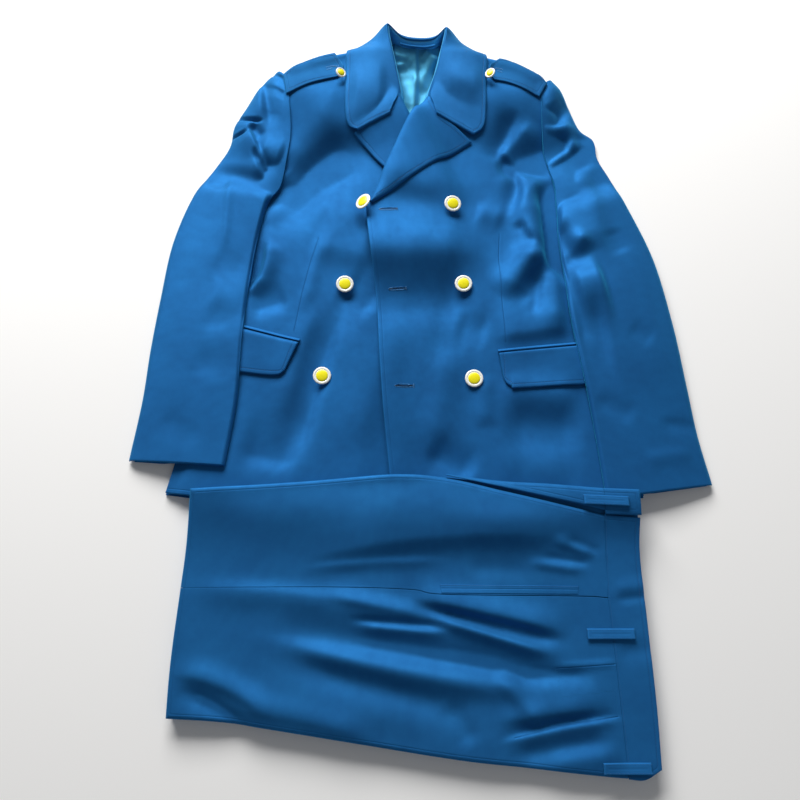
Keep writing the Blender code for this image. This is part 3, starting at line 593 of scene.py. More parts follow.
def stitch_tree():
    """Geometry nodes: threads at an even pitch along a line, each turned by an angle to it."""
    tree = bpy.data.node_groups.new("row_of_stitches", "GeometryNodeTree")
    for name, way, kind in (("Line", "INPUT", "Geometry"), ("Pitch", "INPUT", "Float"),
                            ("Length", "INPUT", "Float"), ("Thickness", "INPUT", "Float"),
                            ("Turn", "INPUT", "Float"), ("Thread", "INPUT", "Material"),
                            ("Stitches", "OUTPUT", "Geometry")):
        tree.interface.new_socket(name, in_out=way, socket_type="NodeSocket" + kind)
    kinds = {"given": "NodeGroupInput", "made": "NodeGroupOutput", "curve": "GeometryNodeMeshToCurve",
             "evenly": "GeometryNodeResampleCurve", "thread": "GeometryNodeMeshUVSphere",
             "size": "ShaderNodeCombineXYZ", "tangent": "GeometryNodeInputTangent",
             "aligned": "FunctionNodeAlignRotationToVector", "turned": "FunctionNodeRotateRotation",
             "turn": "ShaderNodeCombineXYZ", "placed": "GeometryNodeInstanceOnPoints",
             "real": "GeometryNodeRealizeInstances", "smooth": "GeometryNodeSetShadeSmooth",
             "painted": "GeometryNodeSetMaterial"}
    nodes = {key: tree.nodes.new(kind) for key, kind in kinds.items()}
    nodes["evenly"].mode = "LENGTH"
    nodes["aligned"].axis = "X"
    nodes["turned"].rotation_space = "LOCAL"
    for socket, value in (("Segments", 6), ("Rings", 4), ("Radius", 0.5)):
        nodes["thread"].inputs[socket].default_value = value
    for link in ("given.Line > curve.Mesh", "curve.Curve > evenly.Curve", "given.Pitch > evenly.Length",
                 "evenly.Curve > placed.Points", "thread.Mesh > placed.Instance", "given.Length > size.X",
                 "given.Thickness > size.Y", "given.Thickness > size.Z", "size.Vector > placed.Scale",
                 "tangent.Tangent > aligned.Vector", "aligned.Rotation > turned.Rotation",
                 "given.Turn > turn.Z", "turn.Vector > turned.Rotate By", "turned.Rotation > placed.Rotation",
                 "placed.Instances > real.Geometry", "real.Geometry > smooth.Geometry",
                 "smooth.Geometry > painted.Geometry", "given.Thread > painted.Material",
                 "painted.Geometry > made.Stitches"):
        (start, out), (end, into) = (half.split(".") for half in link.split(" > "))
        tree.links.new(nodes[start].outputs[out], nodes[end].inputs[into])
    return tree


def thread_finish(name, colour):
    """Twisted sewing thread, a little glossy."""
    finish = Finish(name)
    ply = finish.noise(900.0, 2.0)
    dark = tuple(0.55 * part for part in colour)
    return finish.paint(ply, colour, dark, ply * 0.15, roughness=0.45, metallic=0.2)


row_of_stitches = stitch_tree()
blue_thread = thread_finish("blue_thread", (0.016, 0.130, 0.370))
pale_thread = thread_finish("pale_thread", (0.040, 0.220, 0.520))


def stitched(name, lines, slot="tunic_cloth", pitch=3.4, length=2.9, thickness=0.5, turn=0.0, thread=None):
    """Rows of stitches along lines of points in millimetres, made by the geometry nodes."""
    edges, start = [], 0
    for line in lines:
        edges += [(start + k, start + k + 1) for k in range(len(line) - 1)]
        start += len(line)
    drawn = made(name + "_line", np.vstack(lines), (), edges=edges)
    sewing = drawn.modifiers.new("sewing", "NODES")
    sewing.node_group = row_of_stitches
    values = {"Pitch": pitch * MM, "Length": length * MM, "Thickness": thickness * MM,
              "Turn": math.radians(turn), "Thread": thread or blue_thread}
    for socket in row_of_stitches.interface.items_tree:
        if socket.name in values:
            sewing[socket.identifier] = values[socket.name]
    bpy.context.view_layer.update()
    sewn = bpy.data.meshes.new_from_object(drawn.evaluated_get(bpy.context.evaluated_depsgraph_get()))
    sewn.name = name
    bpy.data.objects.remove(drawn)
    piece = placed(name, sewn)
    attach(piece, "root")


def inset(surface, side, distance, trim=0.0):
    """The line on a panel's surface at that distance from one of its sides."""
    rows, travelled = rows_from(surface, side)
    line = np.array([[np.interp(distance, travelled[:, k], rows[:, k, axis]) for axis in range(3)]
                     for k in range(rows.shape[1])])
    line[:, 2] += 0.05
    run = np.concatenate([[0.0], np.cumsum(np.linalg.norm(np.diff(line, axis=0), axis=1))])
    return line[(run >= trim) & (run <= run[-1] - trim)]


def edge_stitched(name, surface, sides, trim=6.0):
    """A row of stitches beside each of those sides of a panel."""
    stitched(name + "_stitches", [inset(surface, side, STITCHED, trim) for side in sides])


lapel_plan = panel([(44, 264), (50, 262)], UNDER_LAPEL_ROLL, [(-98, 380), (-27, 447)], UNDER_LAPEL_EDGE, 2.4)
across = np.linspace(0.0, 1.0, lapel_plan.shape[1])[None, :]
lapel_height = table.under(lapel_plan, reach=3.0, easing=8) + WALL + 1.0 + 1.5 * np.sin(math.pi * across)
lapel_height = lapel_height + 2.4 * (1.0 - across) + 0.3 * unevenness(lapel_plan, 22.0, 8)
lapel_blue = gabardine("lapel_gabardine", BLUE, DEEP_BLUE, 38.0)
lapel_top = cloth("lapel_under", lapel_plan, lapel_height, lapel_blue, ["front_under"], sides="wn",
                  settle=False)
edge_stitched("lapel_under", lapel_top, "wn")


# The front that laps over: cut as the other, with its own dart, and buttoned at the edge
# by three worked buttonholes. It lies in soft folds from the shoulder and across the chest.

CHEST_RIGHT_FOLDS = [
    (-96, 178, 92, 186, -2, 42, 32, 9.5),
    (-84, 96, 84, 106, 0, 34, 34, -6.5),
    (-50, 262, 100, 262, 0, 20, 20, -2.0),
    (88, 248, 128, 236, 0, 16, 18, 3.0),
    (104, 430, 180, 452, 0, 34, 34, 2.5),
    (152, 414, 114, 338, 0, 8, 18, -4.5),
    (180, 398, 124, 330, 0, 27, 12, 5.5),
    (126, 334, 240, 346, -4, 40, 32, -12.0),
    (130, 318, 190, 284, 2, 16, 20, 6.0),
    (122, 352, 144, 248, 17, 6, 16, -8.0),
    (160, 294, 170, 186, -10, 16, 12, 5.0),
    (147, 228, 168, 188, 0, 5, 7, -4.0),
    (176, 186, 122, 112, 0, 17, 24, 7.5),
    (184, 168, 146, 98, 0, 12, 14, -3.5),
    (179, 152, 165, 80, 0, 6, 9, -3.0),
    (197, 168, 197, 52, 0, 12, 20, 6.0),
    (174, 284, 176, 140, 2, 11, 24, 11.0),
    (206, 304, 220, 136, -4, 14, 24, -21.0),
    (56, 66, 100, 56, 0, 22, 24, -3.0),
    (88, -12, 90, -84, 0, 14, 12, 2.5),
    (112, -34, 222, -40, 0, 20, 26, 4.5),
    (116, -84, 222, -90, 0, 32, 44, -6.0),
    (104, -122, 204, -146, 0, 26, 26, 3.0),
    (44, 34, 12, -118, 0, 24, 24, 4.5),
    (12, -118, 72, -150, 0, 24, 20, -5.0),
    (-40, 60, -30, -120, 0, 16, 16, 1.5),
    (108, 50, 216, 64, 0, 44, 14, 5.0),
]
RIGHT_DART = [(121, 212), (118, 169), (121, 89), (123, 38)]
OVER_EDGE = [(-36, -197), (-42, -140), (-50, -60), (-56, 20), (-60, 90), (-66, 150), (-73, 200),
             (-77, 250), (-70, 262), (-44, 327), (-7, 409), (6, 425), (22, 445), (40, 500), (50, 529)]
OVER_SIDE = [(300, -178), (278, -70), (243, 100), (233, 190), (241, 280), (207, 322),
             (197, 390), (193, 475)]
OVER_SHOULDER = [(50, 529), (140, 504), (193, 475)]

over_plan = panel([(-36, -197), (170, -190), (300, -178)], OVER_SIDE, OVER_SHOULDER, OVER_EDGE, 3.2)
over_top = cloth("front_over", over_plan, front_height(over_plan, False, CHEST_RIGHT_FOLDS, 5), tunic_blue,
                 ["front_under", "tunic_back"], sides="sw", seam=from_line(over_plan, RIGHT_DART))

BUTTONHOLES = [
    # outer end x, y, inner end x, y
    (-58, 244.5, -31, 246.5), (-43, 119, -18, 121), (-34, -28, -8, -27),
]
HALF_SLIT = 2.0           # from the middle of a buttonhole to its stitches
HALF_BAR = 2.6


def on_surface(surface, points):
    """The points of a panel's surface nearest to places in plan."""
    flat = surface.reshape(-1, 3)
    found = []
    for x, y in points:
        near = np.argsort((flat[:, 0] - x) ** 2 + (flat[:, 1] - y) ** 2)[:4]
        weight = 1.0 / (np.hypot(flat[near, 0] - x, flat[near, 1] - y) + 0.3)
        found.append((x, y, (flat[near, 2] * weight).sum() / weight.sum()))
    return np.array(found)


def worked(name, surface, lines, pitch=0.6, length=2.4, thickness=0.6, turn=90.0, thread=pale_thread):
    """Close stitches across lines given in plan."""
    stitched(name, [on_surface(surface, line) for line in lines], pitch=pitch, length=length,
             thickness=thickness, turn=turn, thread=thread)


def buttonhole(name, hole):
    """A slit bound all round with close stitches, and a bar at its inner end. Along the slit
    lies a row of near-black threads, a painted shadow in the cut.
    """
    start, end = np.array(hole[:2], float), np.array(hole[2:], float)
    along = (end - start) / np.linalg.norm(end - start)
    side = np.array([-along[1], along[0]])
    turn = np.linspace(0.0, math.tau, 60)
    half = np.linalg.norm(end - start) / 2.0
    squashed = np.sign(np.cos(turn)) * np.abs(np.cos(turn)) ** 0.6
    ring = (start + end) / 2.0 + np.outer(squashed * half, along) + np.outer(np.sin(turn) * HALF_SLIT, side)
    worked(name + "_binding", over_top, [ring], pitch=0.62, thickness=0.62)
    worked(name + "_bar", over_top, [[end + side * step for step in (-HALF_BAR, 0.0, HALF_BAR)]])
    worked(name + "_slit_shadow", over_top, [[start + along, end - along]], pitch=1.2, length=2.6, thickness=0.9,
           turn=0.0, thread=slit_shadow)


# Painted shadow: near-black threads laid along each slit stand in for the shade inside the cut.
slit_shadow = thread_finish("slit_shadow", (0.001, 0.006, 0.022))
for number, hole in enumerate(BUTTONHOLES, 1):
    buttonhole(f"buttonhole_{number}", hole)


# Its lapel, broad and peaked, turned out over the front and lying a little proud of it.
# Its edge hugs the front, and the rest spans from the roll line.

OVER_LAPEL_EDGE = [(-68, 255), (-6, 301), (52, 343), (84, 366)]
OVER_LAPEL_ROLL = [(-72, 257), (-46, 327), (-9, 409), (4, 424), (17, 443)]
OVER_LAPEL_TOP = [(17, 443), (34, 408), (60, 388), (84, 366)]

lapel_plan = panel([(-72, 257), (-68, 255)], OVER_LAPEL_EDGE, OVER_LAPEL_TOP, OVER_LAPEL_ROLL, 2.4)
across = np.linspace(0.0, 1.0, lapel_plan.shape[1])[None, :]
beside_edge = smooth_step((across - 0.7) / 0.3)
spanned = table.under(lapel_plan, reach=4.0, easing=60, blur=20)
hugged = table.under(lapel_plan, reach=2.0, easing=4)
lapel_height = spanned + (hugged - spanned) * beside_edge + WALL
lapel_height = lapel_height + 3.4 * np.sin(math.pi * across) + 0.6 * across
lapel_height += 0.3 * unevenness(lapel_plan, 24.0, 12)
lapel_blue = gabardine("over_lapel_gabardine", BLUE, DEEP_BLUE, -32.0)
lapel_top = cloth("lapel_over", lapel_plan, lapel_height, lapel_blue, ["front_over"], sides="en")
edge_stitched("lapel_over", lapel_top, "en")


# Pocket flaps, lined and edge-stitched, hanging from a narrow welt. Their outer ends lie
# under the sleeves.

FLAP_ROLL = 7.0           # over which a flap rises from the groove under its welt
FRONTS = {"left": "front_under", "right": "front_over"}


def strip(low, high, step):
    """A panel between two lines, with straight ends."""
    return panel(low, [low[-1], high[-1]], high, [low[0], high[0]], step)


def flap(side, bottom, top, outer_side, seed):
    """One flap, finished along its lower edge and the end that faces the buttons."""
    plan = strip(bottom, top, 2.4)
    upper = np.linspace(0.0, 1.0, plan.shape[0])[:, None]
    below_welt = (1.0 - upper) * length_of([bottom[-1], top[-1]])
    lift = 1.4 + 2.8 * upper * smooth_step(below_welt / FLAP_ROLL) + 0.25 * unevenness(plan, 26.0, seed)
    height = table.under(plan, reach=3.0, easing=8) + WALL + lift
    surface = cloth(f"pocket_flap_{side}", plan, height, tunic_blue, [FRONTS[side]], sides="s" + outer_side,
                    settle=False)
    edge_stitched(f"pocket_flap_{side}", surface, "s" + outer_side)


flap("left", [(-280, -2), (-205, -11), (-188, -5)], [(-280, 67), (-170, 37)], "e", 20)
flap("right", [(117, -13), (120, -22), (127, -28), (138, -31), (242, -23)], [(112, 22), (242, 35)], "w", 21)
for side, low, high in (("left", [(-281, 69), (-169, 38.5)], [(-280, 74), (-168, 43)]),
                        ("right", [(111, 23.5), (243, 36.5)], [(111, 28), (243, 41)])):
    welt_plan = strip(low, high, 1.2)
    bulge = 0.6 * np.sin(math.pi * np.linspace(0.0, 1.0, welt_plan.shape[0]))[:, None]
    welt_height = table.under(welt_plan, reach=0.0, easing=6) + bulge + 1.7
    cloth(f"pocket_welt_{side}", welt_plan, welt_height, tunic_blue, [f"pocket_flap_{side}"], wall=THIN_WALL,
          sides="ns", edge=0.9, settle=False)


# Collar: one deep leaf that falls from its fold round the neck to rounded front corners,
# edge-stitched, on a stand inside. Between the stand and the lining hangs the loop.

COLLAR = [
    # fold x, fold y, fold height, edge x, edge y, edge height over what it lies on
    (-43, 407, 18, -91, 382, 0.5),
    (-37, 423, 22, -107, 392, 1),
    (-29, 446, 28, -112, 420, 1),
    (-36, 490, 35, -112, 480, 1),
    (-43, 527, 40, -109, 532, 2),
    (-48, 553, 43, -82, 556, 6),
    (-46, 566, 44, -54, 577, 8),
    (-24, 550, 36, -26, 560, 8),
    (0, 546, 34, 0, 556, 8),
    (27, 547, 36, 29, 557, 8),
    (46, 559, 44, 57, 570, 8),
    (46, 544, 43, 82, 548, 6),
    (41, 522, 40, 109, 520, 2),
    (34, 490, 35, 107, 462, 1),
    (20, 447, 24, 106, 416, 1),
    (24, 426, 18, 102, 390, 1),
    (29, 407, 14, 86, 377, 1),
]
COLLAR_FOLDS = [
    (-106, 472, -46, 466, 0, 30, 26, 4.0),
    (-104, 440, -48, 430, 0, 24, 40, 4.0),
    (26, 476, 106, 458, 0, 26, 20, 4.5),
    (32, 434, 106, 412, 0, 16, 20, -2.0),
]
COLLAR_STATIONS = 230
COLLAR_COLUMNS = 34
LEAF_WIDTH = 60.0
COLLAR_ROLL = 3.6         # radius of the fold
LEAF_BULGE = 5.0          # half-way down the leaf
# Painted light: the stand is the collar's gabardine painted much lighter. This stands in for light on its
# inside, which faces away from the window and lies in shade.
STAND_PAINTED_LIGHT_DEEP = (0.070, 0.340, 0.640)
STAND_PAINTED_LIGHT_BLUE = (0.130, 0.560, 0.950)
STAND_STEPS = [
    # from the fold into the neck, share of the way down
    (3.8, -0.04), (4.5, 0.12), (5.4, 0.3), (6.4, 0.5), (7.6, 0.75), (9.0, 1.0),
]
STAND_ENDS = 18           # stations of the collar past each end of the stand
STAND_FOOT = 7.2          # height of its lower edge over the table
STAND_DROP = 3.4          # of its upper edge below the fold

stations_round = curve_through(COLLAR, np.linspace(0.0, 1.0, COLLAR_STATIONS))
fold_line, fold_height = stations_round[:, 0:2], stations_round[:, [2]]
edge_line, edge_lift = stations_round[:, 3:5], stations_round[:, [5]]
leaf_length = np.linalg.norm(edge_line - fold_line, axis=1)[:, None]
outward = (edge_line - fold_line) / leaf_length
inner_steps = -COLLAR_ROLL * np.array([1.0, 0.95, 0.8, 0.5, 0.2])
leaf_shares = stations(LEAF_WIDTH, LEAF_WIDTH / COLLAR_COLUMNS)
steps = np.concatenate([np.tile(inner_steps, (COLLAR_STATIONS, 1)), leaf_length * leaf_shares], axis=1)
collar_plan = fold_line[:, None] + outward[:, None] * steps[..., None]
floor = table.under(collar_plan, reach=4.0, easing=44, blur=30) + WALL
share = np.clip(steps / leaf_length, 0.0, 1.0)
slope = fold_height + (floor[:, -1:] + edge_lift - fold_height) * share + LEAF_BULGE * np.sin(math.pi * share)
slope += relief(collar_plan, COLLAR_FOLDS) * smooth_step(share * 3.0)
inner_drop = COLLAR_ROLL - np.sqrt(np.maximum(COLLAR_ROLL**2 - np.minimum(steps, 0.0) ** 2, 0.0))
collar_height = np.where(steps > 0.0, soft_maximum(slope, floor, 1.0), slope) - inner_drop
collar_height += 0.25 * unevenness(collar_plan, 24.0, 31) * smooth_step(share * 5.0)
collar_blue = gabardine("collar_gabardine", BLUE, DEEP_BLUE, 90.0, 0.3, 0.56)
# painted light: a lighter copy of the collar's gabardine, for the stand
stand_painted_light_gabardine = gabardine("stand_gabardine_painted_light", STAND_PAINTED_LIGHT_BLUE, STAND_PAINTED_LIGHT_DEEP, 90.0, 0.1, 0.6)
collar_height = sunk(collar_height, collar_plan, WALL, beside=8)
distance = from_sides(collar_plan, "sne")
distance[:, :len(inner_steps)] = FAR
collar_top = np.dstack([collar_plan, rounded(collar_height, distance)])
collar_bottom = np.dstack([collar_plan + outward[:, None] * 1.4 * (steps < 0.0)[..., None],
                           np.minimum(collar_height - WALL, collar_top[..., 2] - 0.4)])
collar = shell("collar_cloth", collar_top, collar_bottom, collar_blue, distance)
declare(collar, "collar", collar_top)
table.lay(collar_top)
edge_stitched("collar", collar_top[:, len(inner_steps):], "esn")

stand_top = np.stack([
    np.column_stack([fold_line - outward * into, (fold_height - STAND_DROP) * (1.0 - down) + STAND_FOOT * down])
    for into, down in STAND_STEPS], axis=1)[STAND_ENDS:-STAND_ENDS]
inside_stand = outward[STAND_ENDS:-STAND_ENDS] * 1.2
stand_bottom = stand_top + np.column_stack([inside_stand, np.full(len(inside_stand), -0.4)])[:, None]
stand = shell("collar_stand_cloth", stand_top, stand_bottom, stand_painted_light_gabardine)
declare(stand, "collar_stand", stand_top, upright=True)

loop_plan = strip([(-27, 533), (-6, 532), (28, 529)], [(-27, 536.6), (-6, 535.6), (28, 532.6)], 1.6)
loop_height = table.under(loop_plan, reach=2.0, easing=80, blur=60) + THIN_WALL + 2.6
cloth("hanger_loop", loop_plan, loop_height, collar_blue, ["neck_lining"], wall=THIN_WALL, sides="ns", edge=0.9,
      settle=False, upright=True)


# Sleeves, each of two pieces: an under sleeve flat on what it lies on, and a top sleeve
# that arches over it from fold to fold and is gathered into the armhole over its padding.

SLEEVE_LEFT = [
    # outer x, outer y, inner x, inner y, height of the arch, 1 where the inner edge is sewn in
    (-397, -130, -263, -139, 13, 0),
    (-387, -45, -252, -50, 15, 0),
    (-383, 30, -250, 30, 16, 0),
    (-376, 110, -247, 110, 18, 0),
    (-366, 198, -239, 196, 20, 0),
    (-342, 277, -228, 258, 22, 0),
    (-312, 328, -214, 300, 22, 1),
    (-292, 366, -207, 338, 20, 1),
    (-287, 403, -202, 375, 18, 1),
    (-268, 440, -203, 413, 16, 1),
    (-244, 482, -206, 452, 12, 1),
    (-224, 500, -209, 484, 6, 1),
]
SLEEVE_RIGHT = [
    (395, -163, 247, -183, 13, 0),
    (383, -96, 240, -108, 14, 0),
    (376, -25, 231, -30, 16, 0),
    (366, 70, 217, 68, 19, 0),
    (348, 172, 213, 140, 21, 0),
    (316, 262, 209, 222, 23, 0),
    (294, 312, 216, 284, 24, 1),
    (279, 345, 209, 325, 24, 1),
    (275, 378, 203, 352, 22, 1),
    (253, 400, 200, 385, 20, 1),
    (234, 456, 198, 430, 16, 1),
    (216, 481, 199, 466, 6, 1),
]
SLEEVE_FOLDS_LEFT = [
    (-266, 398, -220, 296, 0, 3, 36, 9.0),
    (-258, 398, -240, 374, 0, 8, 8, -6.0),
    (-250, 350, -222, 292, 0, 12, 4, -9.0),
    (-246, 346, -204, 334, 0, 28, 17, 9.0),
    (-232, 304, -204, 306, 0, 16, 12, -6.0),
    (-254, 488, -242, 402, 0, 7, 18, 4.0),
    (-242, 484, -227, 390, 0, 12, 6, -5.0),
    (-291, 420, -240, 402, -2, 2.4, 2.6, -7.0),
    (-306, 379, -262, 387, -2, 2.6, 3.4, -7.0),
    (-292, 402, -254, 396, 0, 8, 7, 2.0),
    (-284, 312, -286, 180, 0, 8, 4, 2.2),
    (-320, 302, -288, 289, 0, 10, 9, -4.0),
    (-300, 158, -250, 150, 0, 26, 20, -2.0),
    (-306, 74, -246, 62, 0, 24, 18, -2.2),
    (-316, 4, -252, 4, 0, 24, 18, -2.2),
    (-300, 112, -250, 102, 0, 24, 24, 1.5),
    (-330, 120, -345, -60, 6, 26, 26, 1.5),
    (-352, -72, -300, -108, 0, 16, 16, -1.2),
]
SLEEVE_FOLDS_RIGHT = [
    (232, 478, 196, 410, 0, 12, 20, 4.0),
    (245, 446, 202, 390, 0, 12, 18, -8.0),
    (184, 388, 246, 394, 0, 10, 18, 6.0),
    (182, 340, 238, 372, 0, 16, 12, -12.0),
    (192, 322, 250, 378, 0, 10, 13, 9.0),
    (210, 306, 266, 360, 0, 13, 16, -9.0),
    (196, 280, 264, 308, 0, 22, 24, 5.0),
    (190, 286, 208, 277, 0, 5, 5, -3.5),
    (208, 275, 230, 272, 0, 3.5, 3.5, -3.5),
    (258, 345, 266, 160, 0, 14, 24, 3.5),
    (196, 268, 242, 176, -4, 30, 14, 12.0),
    (206, 226, 226, 150, 0, 12, 16, -12.0),
    (204, 158, 248, 204, 0, 14, 14, 8.0),
    (220, 122, 268, 132, 0, 30, 44, 15.0),
    (222, 58, 264, 64, 0, 40, 70, -6.0),
    (282, 214, 300, 176, 0, 16, 16, -2.2),
    (320, 220, 340, -40, 8, 26, 26, 1.5),
    (300, 60, 330, 40, 0, 14, 14, -1.5),
    (244, -46, 292, -74, 0, 14, 12, -2.2),
    (330, -80, 386, -84, 0, 9, 12, -2.0),
    (300, -130, 370, -120, 0, 10, 12, 1.5),
]
UNDER_SLEEVE_INSET = 6.5
SLEEVE_WALL = 1.1
ARMHOLE_LAP = 7.0         # of the sleeve head over the front
SLEEVE_ROLL = 9.0         # radius of the outer fold along a sleeve
INNER_ROLL = 4.5          # radius of its inner fold, pressed flat
SLEEVE_HEAD_ROLL = 22.0   # beside the armhole
SLEEVE_STEP = 2.4
SLEEVE_COLUMNS = 64
SLEEVE_EASE = 22          # rows of that step on each side
UNDER_ROWS, UNDER_COLUMNS = 90, 22
UNDER_REACH = 0.92        # of the sleeve's length
OUTER_SPACE, INNER_SPACE, SEAM_SINK = 1.1, 0.9, 0.6   # of a top sleeve's edges over what they lie on
ROLL_SHARE, ARCH_SHARE = 0.45, 0.30   # of the height that the tables give
HEAD_FLATNESS = 0.95      # share of the arch that the armhole's seam takes away
HEAD_SHARE = 0.75         # of its width, over which the head rises to the shoulder
SLEEVE_PATCHES = [(0.35, 60.0), (0.06, 18.0)]


def along_average(values, reach):
    """Each value's mean with its neighbours within reach along the first axis, taken twice."""
    for _ in range(2):
        padded = np.pad(values, ((reach, reach), (0, 0)), mode="edge")
        sums = np.cumsum(np.vstack([np.zeros((1, values.shape[1])), padded]), axis=0)
        values = (sums[2 * reach + 1:] - sums[:-2 * reach - 1]) / (2 * reach + 1)
    return values


def sleeve(side, outline, folds, grain, seed):
    """Both layers of one sleeve, from its cuff up to the shoulder."""
    arm_blue = gabardine(f"sleeve_gabardine_{side}", BLUE, DEEP_BLUE, grain)
    flat = curve_through(outline, np.linspace(0.0, UNDER_REACH, UNDER_ROWS))
    span = flat[:, 2:4] - flat[:, 0:2]
    inward = span * (UNDER_SLEEVE_INSET / np.linalg.norm(span, axis=1))[:, None]
    shares = np.linspace(0.0, 1.0, UNDER_COLUMNS)[None, :, None]
    flat_plan = (flat[:, 0:2] + inward)[:, None] + (span - 2 * inward)[:, None] * shares
    flat_height = table.under(flat_plan, reach=8.0, easing=10) + WALL
    cloth(f"under_sleeve_{side}", flat_plan, flat_height, arm_blue, [FRONTS[side], "table"], sides="s")

    read = curve_through(outline, stations(length_of([row[:2] for row in outline]), SLEEVE_STEP))
    outer, inner, arch, seam = read[:, 0:2], read[:, 2:4], read[:, [4]], smooth_step(read[:, [5]])
    inner = inner + (inner - outer) / np.linalg.norm(inner - outer, axis=1)[:, None] * (ARMHOLE_LAP * seam)
    turn = np.linspace(0.0, 1.0, SLEEVE_COLUMNS)
    share = (1.0 - np.cos(math.pi * turn)) / 2.0
    plan = outer[:, None] + (inner - outer)[:, None] * share[None, :, None]
    from_outer = np.linalg.norm(inner - outer, axis=1)[:, None] * share
    raised = table.under(plan, reach=6.0, easing=60, blur=60)
    beside_body = table.under(plan[:, -4:], reach=0.0, easing=4)[:, [-1]]
    foot = np.hstack([raised[:, [0]] + OUTER_SPACE, beside_body + INNER_SPACE - SEAM_SINK * seam])
    foot += (along_average(foot, SLEEVE_EASE) - foot) * (1.0 - seam)
    outer_foot, inner_foot = foot[:, [0]], foot[:, [1]]
    line = outer_foot * (1.0 - share) + inner_foot * share
    inner_roll = INNER_ROLL + (SLEEVE_HEAD_ROLL - INNER_ROLL) * seam
    rolled = quarter_round(from_outer / SLEEVE_ROLL) * quarter_round(from_outer[:, ::-1] / inner_roll)
    shape = (ROLL_SHARE * rolled + ARCH_SHARE * np.sin(math.pi * share)) * (1.0 - HEAD_FLATNESS * seam)
    risen = quarter_round(from_outer / (HEAD_SHARE * from_outer[:, [-1]]))
    head = outer_foot + (inner_foot - outer_foot) * risen
    line = line + (head - line) * seam
    soft = soft_folds(plan, folds, SLEEVE_PATCHES, seed)
    height = line + arch * shape + soft * np.sin(math.pi * turn) ** 0.6
    height[:, 1:-1] = soft_maximum(height, raised + WALL, 1.0)[:, 1:-1]
    top = np.dstack([plan, rounded(height, from_sides(plan, "s"))])
    normal = np.cross(np.gradient(top, axis=1), np.gradient(top, axis=0))
    normal *= np.sign(normal[..., [2]] + 1e-9) / np.linalg.norm(normal, axis=-1, keepdims=True)
    bottom = top - normal * SLEEVE_WALL
    bottom[..., 2] = np.maximum(bottom[..., 2], 0.05)
    piece = shell(f"top_sleeve_{side}_cloth", top, bottom, arm_blue)
    declare(piece, f"top_sleeve_{side}", top)
    table.lay(top)


sleeve("left", SLEEVE_LEFT, SLEEVE_FOLDS_LEFT, -10.0, 41)
sleeve("right", SLEEVE_RIGHT, SLEEVE_FOLDS_RIGHT, 14.0, 43)


# Shoulder straps: stiffened, pointed towards the collar, sewn in at the sleeve's head and
# held down by a small button each. Stitched beside the edge.

STRAPS = {
    # south, east, north and west edge
    "left": ([(-203, 440), (-172, 457), (-146, 467), (-124, 474)],
             [(-124, 474), (-116, 486), (-117, 497), (-130, 519)],
             [(-210, 479), (-182, 503), (-158, 512), (-130, 519)],
             [(-203, 440), (-210, 479)]),
    "right": ([(120, 468), (142, 462), (165, 451), (189, 437)],
              [(189, 437), (203, 463)],
              [(130, 509), (157, 504), (183, 489), (203, 463)],
              [(120, 468), (113, 480), (115, 496), (130, 509)]),
}
STRAP_ENDS = {"left": "e", "right": "w"}
# Painted shade: the straps are the coat's gabardine painted darker, so that they read darker than the shoulders
# they lie on.
STRAP_PAINTED_SHADE_BLUE = (0.013, 0.105, 0.285)
STRAP_HOLES = {"left": [[(-143, 491), (-134, 494), (-124, 493)], [(-142, 486), (-133, 490)]],
               "right": [[(119, 488), (126, 490), (134, 487)], [(126, 485), (133, 482)]]}

# painted shade: a darker copy of the coat's gabardine, for the straps
strap_painted_shade_gabardine = gabardine("strap_gabardine_painted_shade", STRAP_PAINTED_SHADE_BLUE, DEEP_BLUE, 20.0)
for side, edges in STRAPS.items():
    strap_plan = panel(*edges, 2.0)
    strap_height = table.under(strap_plan, reach=4.0, easing=6) + WALL + 2.0
    strap_top = cloth(f"shoulder_strap_{side}", strap_plan, strap_height, strap_painted_shade_gabardine, [FRONTS[side]])
    edge_stitched(f"shoulder_strap_{side}", strap_top, "sn" + STRAP_ENDS[side], 5.0)
    worked(f"shoulder_strap_{side}_worked", strap_top, STRAP_HOLES[side], pitch=0.7)


# Buttons: stamped metal on a shank, a pale silvery rim round a flat gilt face. The face
# is plain here.

BUTTON_WIDTH = 25.4
STRAP_BUTTON_WIDTH = 16.5
BUTTON_HEIGHT = 6.0
GILT = (1.000, 0.900, 0.008)
SILVER = (0.960, 0.970, 0.930)
BUTTON_SIDES = 56
BUTTON_PROFILE = [
    # share of the radius, share of the height
    (0.24, 0.0), (0.28, 0.02), (0.28, 0.16), (0.60, 0.20), (0.90, 0.28), (0.97, 0.34), (1.0, 0.44),
    (0.985, 0.54), (0.94, 0.62), (0.88, 0.66), (0.80, 0.665), (0.74, 0.64), (0.705, 0.60), (0.68, 0.59),
    (0.655, 0.62), (0.63, 0.68), (0.56, 0.74), (0.42, 0.80), (0.24, 0.835), (0.10, 0.85),
]
GILT_FROM = 14            # row of the profile
ROPED = range(5, 11)      # rows of the profile
ROPE_DEPTH = 0.010        # share of the radius
CROWN = 0.855             # share of the height, in the middle of the face
SHANK_SPACE = 0.4
LEAN_LIFT = 0.7           # share of what a leaning rim would sink by


def metal(name, colour, roughness, dents):
    """Stamped and polished metal with a faint unevenness and small scratches."""
    finish = Finish(name)
    uneven, scratch = finish.noise(420.0, 3.0), finish.noise(1600.0, 1.0)
    return finish.paint((uneven - 0.35) * 0.9, colour, tuple(0.8 * part for part in colour),
                        uneven * dents + scratch * 0.02, metallic=0.05,
                        roughness=(scratch - 0.5) * 0.15 + roughness)


gilt = metal("gilt_face", GILT, 0.34, 0.08)
silver = metal("silvery_rim", SILVER, 0.26, 0.05)


